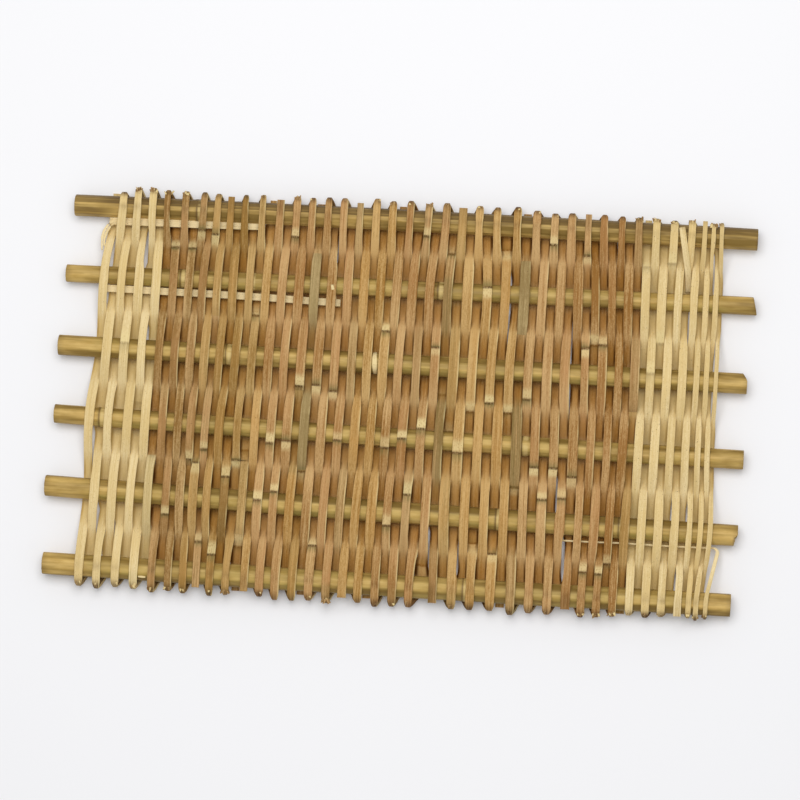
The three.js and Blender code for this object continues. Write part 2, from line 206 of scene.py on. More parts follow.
class Rod:
    """One rod, read from the frame."""

    def __init__(self, number):
        low, high = (millimetres(corner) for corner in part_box(f"rod_{number}"))
        self.name = f"rod_{number}"
        self.left, self.right = low.x, high.x
        self.radius = (high.z - low.z) / 2
        self.z = (high.z + low.z) / 2
        self.slope = -ROD_DROPS[number - 1] / (self.right - self.left)
        self.middle = (high + low) / 2 + Vector((0, ROD_SHIFTS[number - 1], 0))
        self.sag = ROD_SAGS[number - 1]
        self.seat = self.radius + CLEARANCE + THICKNESS / 2
        self.level = self.radius * math.tan(math.pi / FLATS) + CREST_EASE

    def y(self, x):
        share = 2 * (x - self.middle.x) / (self.right - self.left)
        return self.middle.y + self.slope * (x - self.middle.x) - self.sag * (1 - share * share)


RODS_LAID = {number: Rod(number) for number in range(1, RODS + 1)}
RACK_SLOPE = RACK / (RODS_LAID[1].middle.y - RODS_LAID[RODS].middle.y)


def end_rod(heading):
    return RODS if heading == DOWN else 1


def is_over(number, rod):
    return (number + rod) % 2 == 1


# Splints in weaving order: name, tone, first and last pass, heading of the first, width, and the two ends.
# An end is a lap ("top" or "under" on a rod), a tail, or None where it is cut past an edge rod.
SPLINTS = (
    ("pale_left_strip", "pale", 1, 8, DOWN, FIRST_WIDTH, None, ("top", 5)),
    ("brown_strip_01", "brown", 8, 13, UP, SLIM_WIDTH, ("under", 5), ("top", 4)),
    ("brown_strip_02", "honey", 13, 15, DOWN, SLIM_WIDTH, ("under", 4), ("top", 2)),
    ("brown_strip_03", "brown", 15, 15, DOWN, SLIM_WIDTH, ("under", 2), None),
    ("brown_strip_04", "honey", 16, 20, DOWN, SLIM_WIDTH, None, ("top", 5)),
    ("brown_strip_05", "brown", 20, 20, DOWN, SLIM_WIDTH, ("under", 5), None),
    ("brown_strip_06", "honey", 21, 21, UP, MIDDLE_WIDTH, None, None),
    ("brown_strip_07", "brown", 22, 26, DOWN, MIDDLE_WIDTH, None, ("top", 3)),
    ("brown_strip_08", "honey", 26, 27, DOWN, MIDDLE_WIDTH, ("under", 3), ("under", 4)),
    ("grey_strip_1", "grey", 27, 27, UP, MIDDLE_WIDTH, ("top", 4), ("top", 2)),
    ("brown_strip_09", "brown", 27, 27, UP, MIDDLE_WIDTH, ("under", 2), None),
    ("brown_strip_10", "brown", 28, 32, UP, MIDDLE_WIDTH, None, None),
    ("brown_strip_11", "honey", 33, 36, UP, MIDDLE_WIDTH, None, None),
    ("brown_strip_12", "brown", 37, 43, DOWN, MIDDLE_WIDTH, None, None),
    ("brown_strip_13", "honey", 44, 50, DOWN, BROAD_WIDTH, None, None),
    ("brown_strip_14", "brown", 51, 57, DOWN, BROAD_WIDTH, None, None),
    ("grey_strip_2", "grey", 51, 51, DOWN, BROAD_WIDTH, ("top", 2), ("top", 2)),
    ("brown_strip_15", "brown", 58, 64, DOWN, LATE_WIDTH, None, ("top", 3)),
    ("brown_strip_16", "honey", 64, 64, DOWN, LATE_WIDTH, ("under", 3), None),
    ("pale_right_strip", "pale", 65, 71, DOWN, LATE_WIDTH, None, None),
    ("narrow_strip", "pale", 72, 77, DOWN, NARROW_WIDTH, None, ("tail", 5)),
)
LAST_PASS = SPLINTS[-1][3]


def stray(number, rod):
    """How far a pass strays along a rod, evenly between the passes where the row of crossings turns."""
    turns = STRAYS[rod]
    for (before, here), (after, there) in zip(turns, turns[1:]):
        if number <= after:
            return lerp(here, there, max(0, number - before) / (after - before))
    return turns[-1][1]


def width_of(splint, number):
    _, _, first, last, _, width, _, _ = splint
    if splint is SPLINTS[-1]:
        return lerp(width, NARROW_END_WIDTH, (number - first) / (last - first))
    return width


class Weave:
    """Where every pass lies: its centre along the rods, its wandering and its edges."""

    def __init__(self):
        self.widths, self.centres, x = {}, {}, 0
        for number in range(1, LAST_PASS + 1):
            splint = next(s for s in SPLINTS if s[2] <= number <= s[3])
            width = width_of(splint, number)
            self.widths[number] = width
            self.centres[number] = x + width / 2
            x += width + (LOOSE_GAP if splint is SPLINTS[0] else WEAVE_GAP)
        self.woven = x - WEAVE_GAP
        low, _ = (millimetres(corner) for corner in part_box("tucked_strip"))
        self.left = low.x - RACK_SLOPE * low.y  # the weave's left side, where it meets y = 0
        self.crossings = {n: self.cross(n) for n in range(1, LAST_PASS + 1)}

    def straight(self, number, y):
        return self.left + self.centres[number] + RACK_SLOPE * y

    def cross(self, number):
        """The six crossings of a pass as (x, y), each a little off its straight line."""
        places = []
        for rod in range(1, RODS + 1):
            laid = RODS_LAID[rod]
            x = self.straight(number, laid.middle.y)
            x += WANDER * (2 * chance(number, rod) - 1) + stray(number, rod)
            x -= FAN * (2 * self.centres[number] / self.woven - 1) * laid.middle.y / RODS_LAID[1].middle.y
            places.append((x, laid.y(x)))
        return places

    def span(self, number, y):
        """The rods above and below y on this pass, and the share of the way between them."""
        places = self.crossings[number]
        rod = next((n for n in range(1, RODS - 1) if y >= places[n][1]), RODS - 1)
        upper, lower = places[rod - 1][1], places[rod][1]
        return rod, min(max((upper - y) / (upper - lower), 0), 1)

    def x(self, number, y):
        """A smooth line through the crossings."""
        rod, t = self.span(number, y)
        places = [x for x, _ in self.crossings[number]]
        a, b = places[rod - 1], places[rod]
        before = places[rod - 2] if rod > 1 else a
        after = places[rod + 1] if rod < RODS - 1 else b
        turn = 2 * before - 5 * a + 4 * b - after
        return a + ((b - before) * t + turn * t * t + (3 * (a - b) + after - before) * t ** 3) / 2

    def wave(self, number, y):
        """Height of the splint's middle, and how far over (to 1) or under (to -1) its neighbours it is."""
        rod, share = self.span(number, y)
        upper, lower = RODS_LAID[rod], RODS_LAID[rod + 1]
        level = CREST_EASE / (upper.middle.y - lower.middle.y)
        turn = math.cos(math.pi * min(max((share - level) / (1 - 2 * level), 0), 1))
        sign = 1 if is_over(number, rod) else -1
        height = lerp(upper.z, lower.z, share) + sign * turn * lerp(upper.seat, lower.seat, share)
        return height, sign * turn

    def lean(self, number, level):
        return LEAN * (1 - self.centres[number] / self.woven) * level

    def edges(self, number, y, width):
        """Room on the left and on the right of the splint's middle."""
        x = self.x(number, y)
        _, level = self.wave(number, y)
        crowded = 1 - smooth(0.05, 0.6, abs(level))
        hidden = smooth(0.1, 0.5, -level)
        depth = self.crossings[number][0][1] - y
        height = y - self.crossings[number][-1][1]
        to_edge = min(depth, height)
        pinch = PINCH[UP if depth < height else DOWN]
        pinched = 1 - pinch * (0.5 + chance(number, 43)) * (1 - smooth(2, 26, to_edge))
        sides = []
        for way in (-1, 1):
            free = (width * (1 + UNEVEN * (2 * chance(number, 71) - 1)) + WIDER) / 2 * pinched
            other = number + way
            if other in self.crossings:
                shared = abs(self.x(other, y) - x) / 2
                reach = shared + COVER + (2 * abs(self.lean(number, level)) if way > 0 else PEEK)
                free = lerp(free, max(free, reach), hidden * smooth(0, 9, to_edge))
                free = lerp(free, shared - HAIR / 2, crowded)
                for slit, middle, half, gap in SLITS:
                    if slit == min(number, other):
                        free = lerp(free, shared - gap / 2, bump(depth - middle, half))
            sides.append(max(free, LEAST_ROOM))
        return sides


WEAVE = Weave()


@dataclass
class Spot:
    """One ring of a splint: its middle, the direction of its width, its room to both sides and its look."""

    at: Vector
    across: Vector
    left: float
    right: float
    lift: float = 0
    swell: float = 0
    scar: float = 0
    line: float = 0
    stain: float = 0
    tone: float = None
    blush: float = None
    smudge: float = 0
    grime: float = 0
    return_darkening: float = 0


def even_spot(at, across, width, **looks):
    """A spot with the same room on both sides."""
    return Spot(at, across, width / 2, width / 2, **looks)


PALE_PASSES = (*range(1, 8), *range(65, LAST_PASS + 1))

# How dark the passes are, from 0 to 1 (others are 0.5), and those that weathered grey
PASS_TONES = {
    **dict.fromkeys((17, 61, 62), 1.02),
    **dict.fromkeys((8, 10, 18, 59, 60, 63), 0.84),
    **dict.fromkeys((9, 11, 13, 16, 24, 25, 26, 27, 33, 35, 37, 38, 39), 0.64),
    **dict.fromkeys((41, 43, 47, 49, 50, 51, 55, 57), 0.64),
    **dict.fromkeys((14, 15, 20, 21, 23, 29, 32, 40, 44, 45, 46, 48, 52, 54), 0.38),
    **dict.fromkeys(range(1, 8), 0.72),
    **dict.fromkeys(range(65, LAST_PASS + 1), 0.85),
    **dict.fromkeys((69, 72, 76), 1.1),
}
GREY_PASSES = {
    **dict.fromkeys(range(9, 21), 0.3),
    **dict.fromkeys((8, 20, 27, 32, 40, 43, 44, 51, 64), 0.32),
}
# Lengths of single passes that are greyer or stained: the look, from and to below rod 1, and its strength
MARKED_LENGTHS = {
    18: ("stain", 155, 192, 0.45),
    26: ("smudge", 98, 150, 0.5),
    43: ("smudge", 30, 160, 0.8),
    51: ("smudge", 98, 152, 0.8),
}


def tint(spot, number):
    """The tone of a splint on one pass, drifting slowly along it."""
    place = spot.at / 45
    spot.tone = PASS_TONES.get(number, 0.5) + 0.2 * (chance(number, 31) - 0.5)
    spot.tone += 0.5 * drift(place.x * 3, place.y, number)
    spot.smudge = max(spot.smudge, GREY_PASSES.get(number, 0))
    spot.blush = 0.5 + 0.9 * (chance(number, 57) - 0.5) + 0.6 * drift(place.x, place.y * 0.7, number + 0.5)
    return spot


def pass_spot(number, y, width):
    height, level = WEAVE.wave(number, y)
    x = WEAVE.x(number, y) + WEAVE.lean(number, level)
    left, right = WEAVE.edges(number, y, width)
    spot = Spot(Vector((x, y, height)), X_AXIS, left, right)
    # Painted light and shade: how far the splint dips between its neighbours; there its colour is warmed and
    # lightened, and its edges get painted shade.
    spot.grime = smooth(-0.1, 0.75, -level) * (1 - 0.8 * smooth(0.9, 1, -level))
    depth = WEAVE.crossings[number][0][1] - y
    strength = 0.4 if number in PALE_PASSES else 1
    for mark in NODE_MARKS.get(number, ()):
        side = -1 if number in LINE_ABOVE else 1
        half = MARK_HALF * (0.7 + 0.6 * chance(number, mark, 3))
        to_line = (depth - mark) * side  # from the middle of the band towards its dark line
        band = smooth(-1.5 * half, -0.2 * half, to_line) * (1 - smooth(0.9 * half, 1.1 * half, to_line))
        spot.scar = max(spot.scar, band * (0.5 + 0.5 * chance(number, mark, 5)))
        spot.line = max(spot.line, strength * bump(to_line - half - 0.2, LINE_HALF))
        beside = smooth(half, 1.4 * half, to_line) * (1 - smooth(1.2 * half, 3 * half, to_line))
        spot.smudge = max(spot.smudge, strength * beside)
        spot.swell = max(spot.swell, bump(to_line - half, SWELL_HALF))
    if number in MARKED_LENGTHS:
        look, upper, lower, amount = MARKED_LENGTHS[number]
        amount *= smooth(upper, upper + 3, depth) * (1 - smooth(lower, lower + 3, depth))
        setattr(spot, look, max(getattr(spot, look), amount))
    tint(spot, number)
    # Painted light: a splint is made lighter away from its crests, most of all midway down its slopes, to
    # lift the shade between its neighbours, and a little lighter again where it lies under them.
    spot.tone -= 0.34 * (1 - abs(level) ** 1.5) + 0.1 * smooth(0, 0.8, -level)
    to_edge = min(depth, y - WEAVE.crossings[number][-1][1])
    nearer_lower = 1 if depth > to_edge else 0
    # Darker over the last few millimetres of a crossing before its fold.
    fold_darkness = 0.5 * chance(number, nearer_lower, 8) * (1 - smooth(-2, 5, to_edge)) * max(level, 0)
    spot.stain = max(spot.stain, fold_darkness)
    return spot


def pass_heights(number, top, bottom):
    """Ring places down a pass from top to bottom, closer together round a bamboo node."""
    count = max(2, round((top - bottom) / STEP))
    places = {round(lerp(top, bottom, n / count), 3) for n in range(count + 1)}
    for mark in NODE_MARKS.get(number, ()):
        middle = WEAVE.crossings[number][0][1] - mark
        fine = [middle + n * MARK_STEP for n in range(-MARK_STEPS, MARK_STEPS + 1)]
        places = {y for y in places if abs(y - middle) > MARK_REACH} | {top, bottom}
        places |= {round(y, 3) for y in fine if bottom < y < top}
    return sorted(places, reverse=True)


def pass_run(number, heading, width, start, finish):
    """The spots of one pass, from its start to its finish, with its laps lifted."""
    crossings = WEAVE.crossings[number]
    top, bottom = crossings[0][1], crossings[-1][1]
    lifted = []
    for end, way in ((start, -heading), (finish, heading)):
        if end == "turn":
            continue
        if end is None:
            rod = RODS_LAID[end_rod(way)]
            reach = way * (rod.level + CUT_REACH + CUT_SPREAD * (chance(number, way) - 0.5))
            limit = crossings[end_rod(way) - 1][1] + reach
        else:
            kind, rod = end
            beyond = rod + (1 if way == DOWN else -1)
            limit = (crossings[rod - 1][1] + crossings[beyond - 1][1]) / 2
            limit += LAP_SPREAD * (chance(number, rod) - 0.5)
            if kind == "top":
                before = rod - (1 if way == DOWN else -1)
                lifted.append((limit, (crossings[rod - 1][1] + crossings[before - 1][1]) / 2))
        top, bottom = (limit, bottom) if way == UP else (top, limit)
    spots = []
    for y in pass_heights(number, top, bottom):
        spot = pass_spot(number, y, width)
        for a, b in lifted:
            middle, half = (a + b) / 2, abs(a - b) / 2
            spot.lift = max(spot.lift, 1 - smooth(half - LAP_EASE, half + LAP_PAST, abs(y - middle)))
        spots.append(spot)
    if heading == UP:
        spots.reverse()
    return spots


# How much further the folds of the two edges stand out at the left and at the right of the mat,
# and the passes between which that changes
FOLD_SLACK = {UP: (0.6, -2.0, 44, 60), DOWN: (1.3, -1.2, 56, 68)}
FIRST_FOLDS = {1: -3.0, 2: -3.0, 3: 1.6, 4: 1.6}  # the first folds of the upper edge


def fold_reach(number, heading):
    """How far a fold stands out from its rod: less at the right, where the splints are narrow."""
    at_left, at_right, start, end = FOLD_SLACK[heading]
    slack = lerp(at_left, at_right, smooth(start, end, number))
    slack += FOLD_SPREAD * (chance(number, heading, 2) - 0.6)
    if heading == UP:
        slack += FIRST_FOLDS.get(number, 0)
    return RODS_LAID[end_rod(heading)].level + TURN_REACH + slack


def turn_run(number, heading, width, next_width):
    """Half an oval round an edge rod, from one pass to the next, pinched in the fold and darkened there with
    stain and painted shade.
    """
    rod = RODS_LAID[end_rod(heading)]
    index = end_rod(heading) - 1
    here, there = WEAVE.crossings[number][index], WEAVE.crossings[number + 1][index]
    sign = 1 if is_over(number, end_rod(heading)) else -1
    reach = fold_reach(number, heading)
    fold_darkness = 0.6 + 0.6 * chance(number, heading, 5)
    spots = []
    for n in range(1, TURN_STEPS):
        share = n / TURN_STEPS
        fold = math.sin(math.pi * share)
        late = share if sign > 0 else 1 - share
        moved = smooth(0.5, 1, late) ** 1.2
        x = lerp(here[0], there[0], moved if sign > 0 else 1 - moved)
        level = sign * math.cos(math.pi * share)
        x += WEAVE.lean(number, level)
        z = rod.z + rod.seat * level
        pinched = 1 - PINCH[heading] * (0.5 + chance(number if late < 0.5 else number + 1, 43))
        out = reach * fold ** 0.72 * (1 - 0.5 * smooth(0.5, 0.9, late))
        past = max(0, (out / reach - TIP_START) / (1 - TIP_START))
        half = (lerp(width, next_width, share) + WIDER) / 2 * pinched * math.sqrt(1 - 0.68 * past * past)
        spot = Spot(Vector((x, rod.y(x) + heading * out, z)), X_AXIS, half, half)
        # The fold's tip and the return behind it are darkened: partly stain, partly painted shade where the
        # splint turns away from the light and dips under.
        tip = fold_darkness * smooth(0.42, 0.9, fold)
        spot.stain = 0.9 * max(tip, smooth(0.42, 0.6, late) * (1 - smooth(0.88, 1, late)))
        spot.return_darkening = fold_darkness * smooth(0.2, 0.34, late)
        tones = [tint(spot, pass_number).tone for pass_number in (number, number + 1)]
        spot.tone = lerp(*tones, share)
        spots.append(spot)
    return spots


def tail_run(number, rod_number, side, width, tip_width, lean, reach):
    """From a pass, round a flat bend and along the lower side of a rod to the tip."""
    rod = RODS_LAID[rod_number]
    bend = width / 2 + TUCK_BEND

    def tucked(x):
        return rod.y(x) - rod.radius - CLEARANCE - width / 2 - TAIL_GAP

    x = WEAVE.straight(number, rod.middle.y - rod.radius) + lean
    corner = tucked(x) - bend
    spots = []
    for n in range(BEND_STEPS + 1):
        share = n / BEND_STEPS
        sine, cosine = math.sin(share * math.pi / 2), math.cos(share * math.pi / 2)
        at = Vector((x + side * bend * (1 - cosine), corner + bend * sine, rod.z))
        across = Vector((cosine, -side * sine, 0))
        spots.append(even_spot(at, across, lerp(width, tip_width, share), tone=0, blush=0))
    start = spots[-1].at.x
    tip = x - lean + side * reach
    count = round(abs(tip - start) / STEP)
    for n in range(1, count + 1):
        x = lerp(start, tip, n / count)
        wobble = 0.25 * drift(x / 30, rod_number, 0.5)
        at = Vector((x, tucked(x) + wobble - TAIL_SLACK * n / count, rod.z))
        spots.append(even_spot(at, Vector((0, -side, 0)), tip_width, tone=0, blush=0))
    return spots


LAST_TAIL = (5, -1, NARROW_END_WIDTH, LAST_TAIL_WIDTH, LAST_TAIL_LEAN, LAST_TAIL_REACH)


def splint_run(splint):
    """All the spots of one splint, from end to end."""
    _, _, first, last, heading, _, start, finish = splint
    spots = []
    for number in range(first, last + 1):
        width = width_of(splint, number)
        begin = start if number == first else "turn"
        end = finish if number == last else "turn"
        tail = end == ("tail", LAST_TAIL[0])
        run = pass_run(number, heading, width, begin, "turn" if tail else end)
        if tail:
            limit = WEAVE.crossings[number][RODS - 1][1] + RODS_LAID[RODS].level
            run = [spot for spot in run if spot.at.y < limit] + tail_run(number, *LAST_TAIL)
        spots += run
        if number < last:
            spots += turn_run(number, heading, width, width_of(splint, number + 1))
        heading = -heading
    return spots


# The rounded section of a splint: how far to the side (-1 to 1) and up (-1 to 1), rounding and crown
EDGE = 0.2
SECTION = (
    (-1, -EDGE, -1, 0), (-0.35, 0, -1, 0), (0.35, 0, -1, 0), (1, EDGE, -1, 0), (1, 0, -1, EDGE),
    (1, 0, 1, -EDGE), (1, EDGE, 1, 0), (0.4, 0, 1, 0.05), (-0.4, 0, 1, 0.05), (-1, -EDGE, 1, 0),
    (-1, 0, 1, -EDGE), (-1, 0, -1, EDGE),
)
SIDES = [side for side, _, _, _ in SECTION + SECTION[:1]]


def section_ring(spot, normal, thickness):
    """The points of one ring, in metres."""
    half = thickness / 2
    points = []
    for side, inset, up, drop in SECTION:
        room = spot.left if side < 0 else spot.right
        sideways = side * room - (inset if abs(side) == 1 else 0)
        swell = spot.swell if up * normal.z > 0 else 0
        height = up * (half + 0.5 * MARK_SWELL * swell) + drop
        point = spot.at + spot.across * sideways + normal * height
        point.z = max(point.z, 0)
        points.append(point * MM)
    return points


def lay_rings(spots, thickness):
    """Rings square to the splint's run, with the lapped ones lifted off the splint below."""
    normals = []
    for index, spot in enumerate(spots):
        before, after = spots[max(index - 1, 0)], spots[min(index + 1, len(spots) - 1)]
        tangent = (after.at - before.at).normalized()
        spot.across = (spot.across - tangent * spot.across.dot(tangent)).normalized()
        normals.append(tangent.cross(spot.across))
    rings, lengths, length, before = [], [], 0, spots[0].at
    for spot, normal in zip(spots, normals):
        upward = 1 if normal.z > 0 else -1
        spot.at = spot.at + normal * upward * spot.lift * (THICKNESS + CLEARANCE)
        length += (spot.at - before).length
        before = spot.at
        lengths.append(length)
        rings.append(section_ring(spot, normal, thickness))
    return rings, lengths


LOOKS = ("scar", "line", "stain", "smudge", "tone", "blush", "grime", "side")
SPLINT_CREASE, ROD_CREASE, RIDGED_CREASE = 32, 26, 20  # degrees past which an edge stays sharp
SAME_POINT = 1e-7  # metres within which two points are one
KEY_LENGTH = 400  # between the places of two splints in the noise of the fibres


def deselect():
    bpy.ops.object.select_all(action="DESELECT")


def tube(name, rings, lengths, looks, crease=SPLINT_CREASE):
    """Rolls a grid into a closed tube through the rings, with fibres along its UV map, and caps its ends."""
    columns, rows = len(rings[0]) + 1, len(rings)
    deselect()
    bpy.ops.mesh.primitive_grid_add(x_subdivisions=columns - 1, y_subdivisions=rows - 1, size=1)
    piece = bpy.context.object
    piece.name = piece.data.name = name
    mesh = piece.data
    if len(mesh.vertices) != columns * rows:
        raise RuntimeError(f"{name}: the grid has {len(mesh.vertices)} points instead of {columns * rows}")
    cells = [
        (round((v.co.x + 0.5) * (columns - 1)), round((v.co.y + 0.5) * (rows - 1))) for v in mesh.vertices
    ]
    piece.matrix_world = Matrix.Identity(4)
    girth = [0.0]
    middle = rings[rows // 2]
    for index in range(1, columns):
        girth.append(girth[-1] + (middle[index % (columns - 1)] - middle[index - 1]).length / MM)
    for vertex, (column, row) in zip(mesh.vertices, cells):
        vertex.co = rings[row][column % (columns - 1)]
    fibre = mesh.uv_layers.active
    fibre.name = "fibre"
    for loop in mesh.loops:
        column, row = cells[loop.vertex_index]
        fibre.data[loop.index].uv = (girth[column], lengths[row])
    for look, values in looks.items():
        spread = [row if isinstance(row, list) else [row] * columns for row in values]
        attribute = mesh.attributes.new(look, "FLOAT", "POINT")
        attribute.data.foreach_set("value", [spread[row][column] for column, row in cells])
    bpy.ops.object.mode_set(mode="EDIT")
    bpy.ops.mesh.select_all(action="SELECT")
    bpy.ops.mesh.remove_doubles(threshold=SAME_POINT)
    bpy.ops.mesh.select_all(action="SELECT")
    bpy.ops.mesh.fill_holes(sides=0)
    bpy.ops.mesh.select_all(action="SELECT")
    bpy.ops.mesh.normals_make_consistent(inside=False)
    bpy.ops.object.mode_set(mode="OBJECT")
    bpy.ops.object.shade_smooth_by_angle(angle=math.radians(crease))
    return piece


def seat(piece, slot, material, *nodes):
    """Gives a finished piece its material and puts it in the place of its nodes."""
    piece.data.materials.clear()
    piece.data.materials.append(material)
    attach(piece, BODY)
    if nodes:
        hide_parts(*nodes)


def splint_piece(name, spots, key, thickness=None):
    """A finished splint: rings laid along its spots, each with its tone."""
    thickness = thickness or bpy.context.scene.mat_splints.thickness / MM
    for spot in spots:
        if spot.tone is None:
            tint(spot, key)
    for end in (spots[0], spots[-1]):
        end.stain = END_STAIN
    rings, lengths = lay_rings(spots, thickness)
    start = KEY_LENGTH * key
    looks = {look: [getattr(spot, look) for spot in spots] for look in LOOKS if look != "side"}
    looks["side"] = [SIDES] * len(spots)
    # Down the middle of a fold's return: painted shade of its hollow, partly stain.
    looks["stain"] = [
        [max(spot.stain, spot.return_darkening * (1 - smooth(0.3, 0.9, abs(side)))) for side in SIDES] for spot in spots
    ]
    return tube(name, rings, [start + at for at in lengths], looks)


def join(pieces, name):
    """Joins pieces of one kind into one."""
    deselect()
    for piece in pieces:
        piece.select_set(True)
    bpy.context.view_layer.objects.active = pieces[0]
    bpy.ops.object.join()
    joined = bpy.context.object
    joined.name = joined.data.name = name
    return joined


# Materials


def linear(red, green, blue):
    """A colour as the eye reads it, 0 to 255, turned into the light that it reflects."""
    shares = (channel / 255 for channel in (red, green, blue))
    return tuple(c / 12.92 if c <= 0.04045 else ((c + 0.055) / 1.055) ** 2.4 for c in shares)


class Nodes:
    """Short ways to add and join the nodes of one tree."""

    def __init__(self, tree):
        self.tree = tree

    def add(self, kind, inputs=None, **settings):
        node = self.tree.nodes.new(kind)
        for key, value in settings.items():
            setattr(node, key, value)
        for key, value in (inputs or {}).items():
            if hasattr(value, "is_output"):
                self.tree.links.new(value, node.inputs[key])
            else:
                node.inputs[key].default_value = value
        return node

    def math(self, operation, a, b, clamp=False):
        return self.add("ShaderNodeMath", {0: a, 1: b}, operation=operation, use_clamp=clamp).outputs[0]

    def times(self, a, b):
        return self.math("MULTIPLY", a, b)

    def most(self, a, b):
        return self.math("MAXIMUM", a, b)

    def mix(self, share, a, b):
        return self.add("ShaderNodeMix", {0: share, 6: a, 7: b}, data_type="RGBA").outputs[2]

    def tinge(self, colour, share, strength, other):
        """A colour with a weakened share of another."""
        return self.mix(self.times(share, strength), colour, other)

    def look(self, name):
        return self.add("ShaderNodeAttribute", attribute_name=name).outputs["Fac"]

    def grain(self, vector, scale, detail=3.0):
        """Noise on coordinates stretched by scale."""
        stretched = self.add("ShaderNodeMapping", {"Vector": vector, "Scale": scale}).outputs[0]
        inputs = {"Vector": stretched, "Scale": 1.0, "Detail": detail, "Roughness": 0.55}
        return self.add("ShaderNodeTexNoise", inputs).outputs[0]

    def ramp(self, value, low, high, start=0.0, end=1.0):
        inputs = {"Value": value, "From Min": low, "From Max": high, "To Min": start, "To Max": end}
        return self.add("ShaderNodeMapRange", inputs).outputs[0]

    def layers(self, total, *layers):
        """Adds noises to a total, each read between two values and weighted."""
        for value, low, high, weight in layers:
            total = self.math("ADD", total, self.times(self.ramp(value, low, high), weight))
        return total

    def give(self, made, *results):
        """Joins the results to the outputs of a group, in order."""
        for result, socket in zip(results, made):
            self.tree.links.new(result, socket)


SURFACE = (("Color", "NodeSocketColor"), ("Roughness", "NodeSocketFloat"), ("Height", "NodeSocketFloat"))
# Warm and Shade are painted light and painted shade in the recesses between splints, not the splints' own
# colour.
SPLINT_COLOURS = ("Light", "Deep", "Blush", "Scar", "Stain", "Smudge", "Warm", "Shade")
ROD_COLOURS = ("Light", "Deep", "Skin", "Green", "Scar", "Stain")
SPLINT_RELIEF, ROD_RELIEF = 0.0001, 0.00012  # metres that the fibres stand out
SPLINT_GLOSS, ROD_GLOSS = 0.1, 0.22


def surface_group(name, colours):
    """A new shader node group that takes named colours and gives a surface."""
    tree = bpy.data.node_groups.new(name, "ShaderNodeTree")
    for label in colours:
        tree.interface.new_socket(label, in_out="INPUT", socket_type="NodeSocketColor")
    for label, kind in SURFACE:
        tree.interface.new_socket(label, in_out="OUTPUT", socket_type=kind)
    nodes = Nodes(tree)
    return nodes, nodes.add("NodeGroupInput").outputs, nodes.add("NodeGroupOutput").inputs


def split_bamboo():
    """Fibres, streaks, specks, nodes and stains of a split bamboo surface, along the UV map, with painted
    shade in its folds and recesses, painted warm light where it dips between others, and worn right edges
    that are partly a painted highlight.
    """
    found = bpy.data.node_groups.get("split_bamboo")
    if found:
        return found
    nodes, given, made = surface_group("split_bamboo", SPLINT_COLOURS)
    along = nodes.add("ShaderNodeUVMap", uv_map="fibre").outputs[0]
    fibre = nodes.grain(along, (2.6, 0.05, 1), 4.0)
    streak = nodes.grain(along, (0.75, 0.014, 1))
    cloud = nodes.grain(along, (0.25, 0.05, 1))
    speck = nodes.grain(along, (1.5, 0.8, 1), 1.0)
    grain = nodes.grain(along, (1.6, 0.32, 1), 2.0)
    mottle = nodes.grain(along, (1.7, 1.1, 1), 2.0)
    fleck = nodes.grain(along, (1.1, 0.6, 1), 4.0)
    edge_patch_noise = nodes.grain(along, (0.03, 0.03, 1))
    fine = [(grain, 0.3, 0.7, 0.5), (mottle, 0.3, 0.7, 0.36)]
    depth = nodes.layers(nodes.look("tone"), (streak, 0.35, 0.65, 0.6), (fibre, 0.3, 0.7, 0.5), *fine)
    depth = nodes.math("SUBTRACT", depth, 0.98, clamp=True)
    colour = nodes.mix(depth, given["Light"], given["Deep"])
    blush = nodes.times(nodes.look("blush"), nodes.ramp(cloud, 0.3, 0.7))
    colour = nodes.tinge(colour, blush, 0.8, given["Blush"])
    scar = nodes.look("scar")
    colour = nodes.tinge(colour, nodes.times(scar, nodes.ramp(fleck, 0.25, 0.5)), 0.85, given["Scar"])
    # Stains, node lines and specks, together with the painted shade of the folds, all take the stain colour.
    dark_marks_and_shade = nodes.times(nodes.look("stain"), nodes.ramp(streak, 0.2, 0.6))
    dark_marks_and_shade = nodes.most(dark_marks_and_shade, nodes.times(nodes.look("line"), nodes.ramp(fleck, 0.8, 0.45)))
    dark_marks_and_shade = nodes.most(dark_marks_and_shade, nodes.times(nodes.times(scar, nodes.ramp(fleck, 0.45, 0.3)), 0.12))
    dark_marks_and_shade = nodes.most(dark_marks_and_shade, nodes.times(nodes.ramp(speck, 0.67, 0.75), 0.6))
    colour = nodes.mix(dark_marks_and_shade, colour, given["Stain"])
    smudge = nodes.times(nodes.look("smudge"), nodes.ramp(streak, 0.25, 0.55))
    colour = nodes.tinge(colour, smudge, 0.72, given["Smudge"])
    side = nodes.look("side")
    # Right edges lighter in patches: partly worn, partly a painted highlight.
    worn_and_highlit_edge = nodes.times(nodes.ramp(side, 0.7, 0.95), nodes.ramp(edge_patch_noise, 0.48, 0.6))
    colour = nodes.tinge(colour, worn_and_highlit_edge, 0.55, given["Scar"])
    # Painted light and shade where a splint dips between others: a warmer, lighter colour over it, and
    # painted shade towards its edges.
    grime = nodes.look("grime")
    colour = nodes.tinge(colour, grime, 0.5, given["Warm"])
    shaded_rim = nodes.ramp(nodes.math("ABSOLUTE", side, 0), 0.42, 0.76, 0.1, 1.0)
    colour = nodes.tinge(colour, grime, shaded_rim, given["Shade"])
    roughness = nodes.ramp(fibre, 0, 1, 0.5, 0.8)
    nodes.give(made, colour, roughness, nodes.math("ADD", fibre, nodes.times(streak, 0.8)))
    return nodes.tree


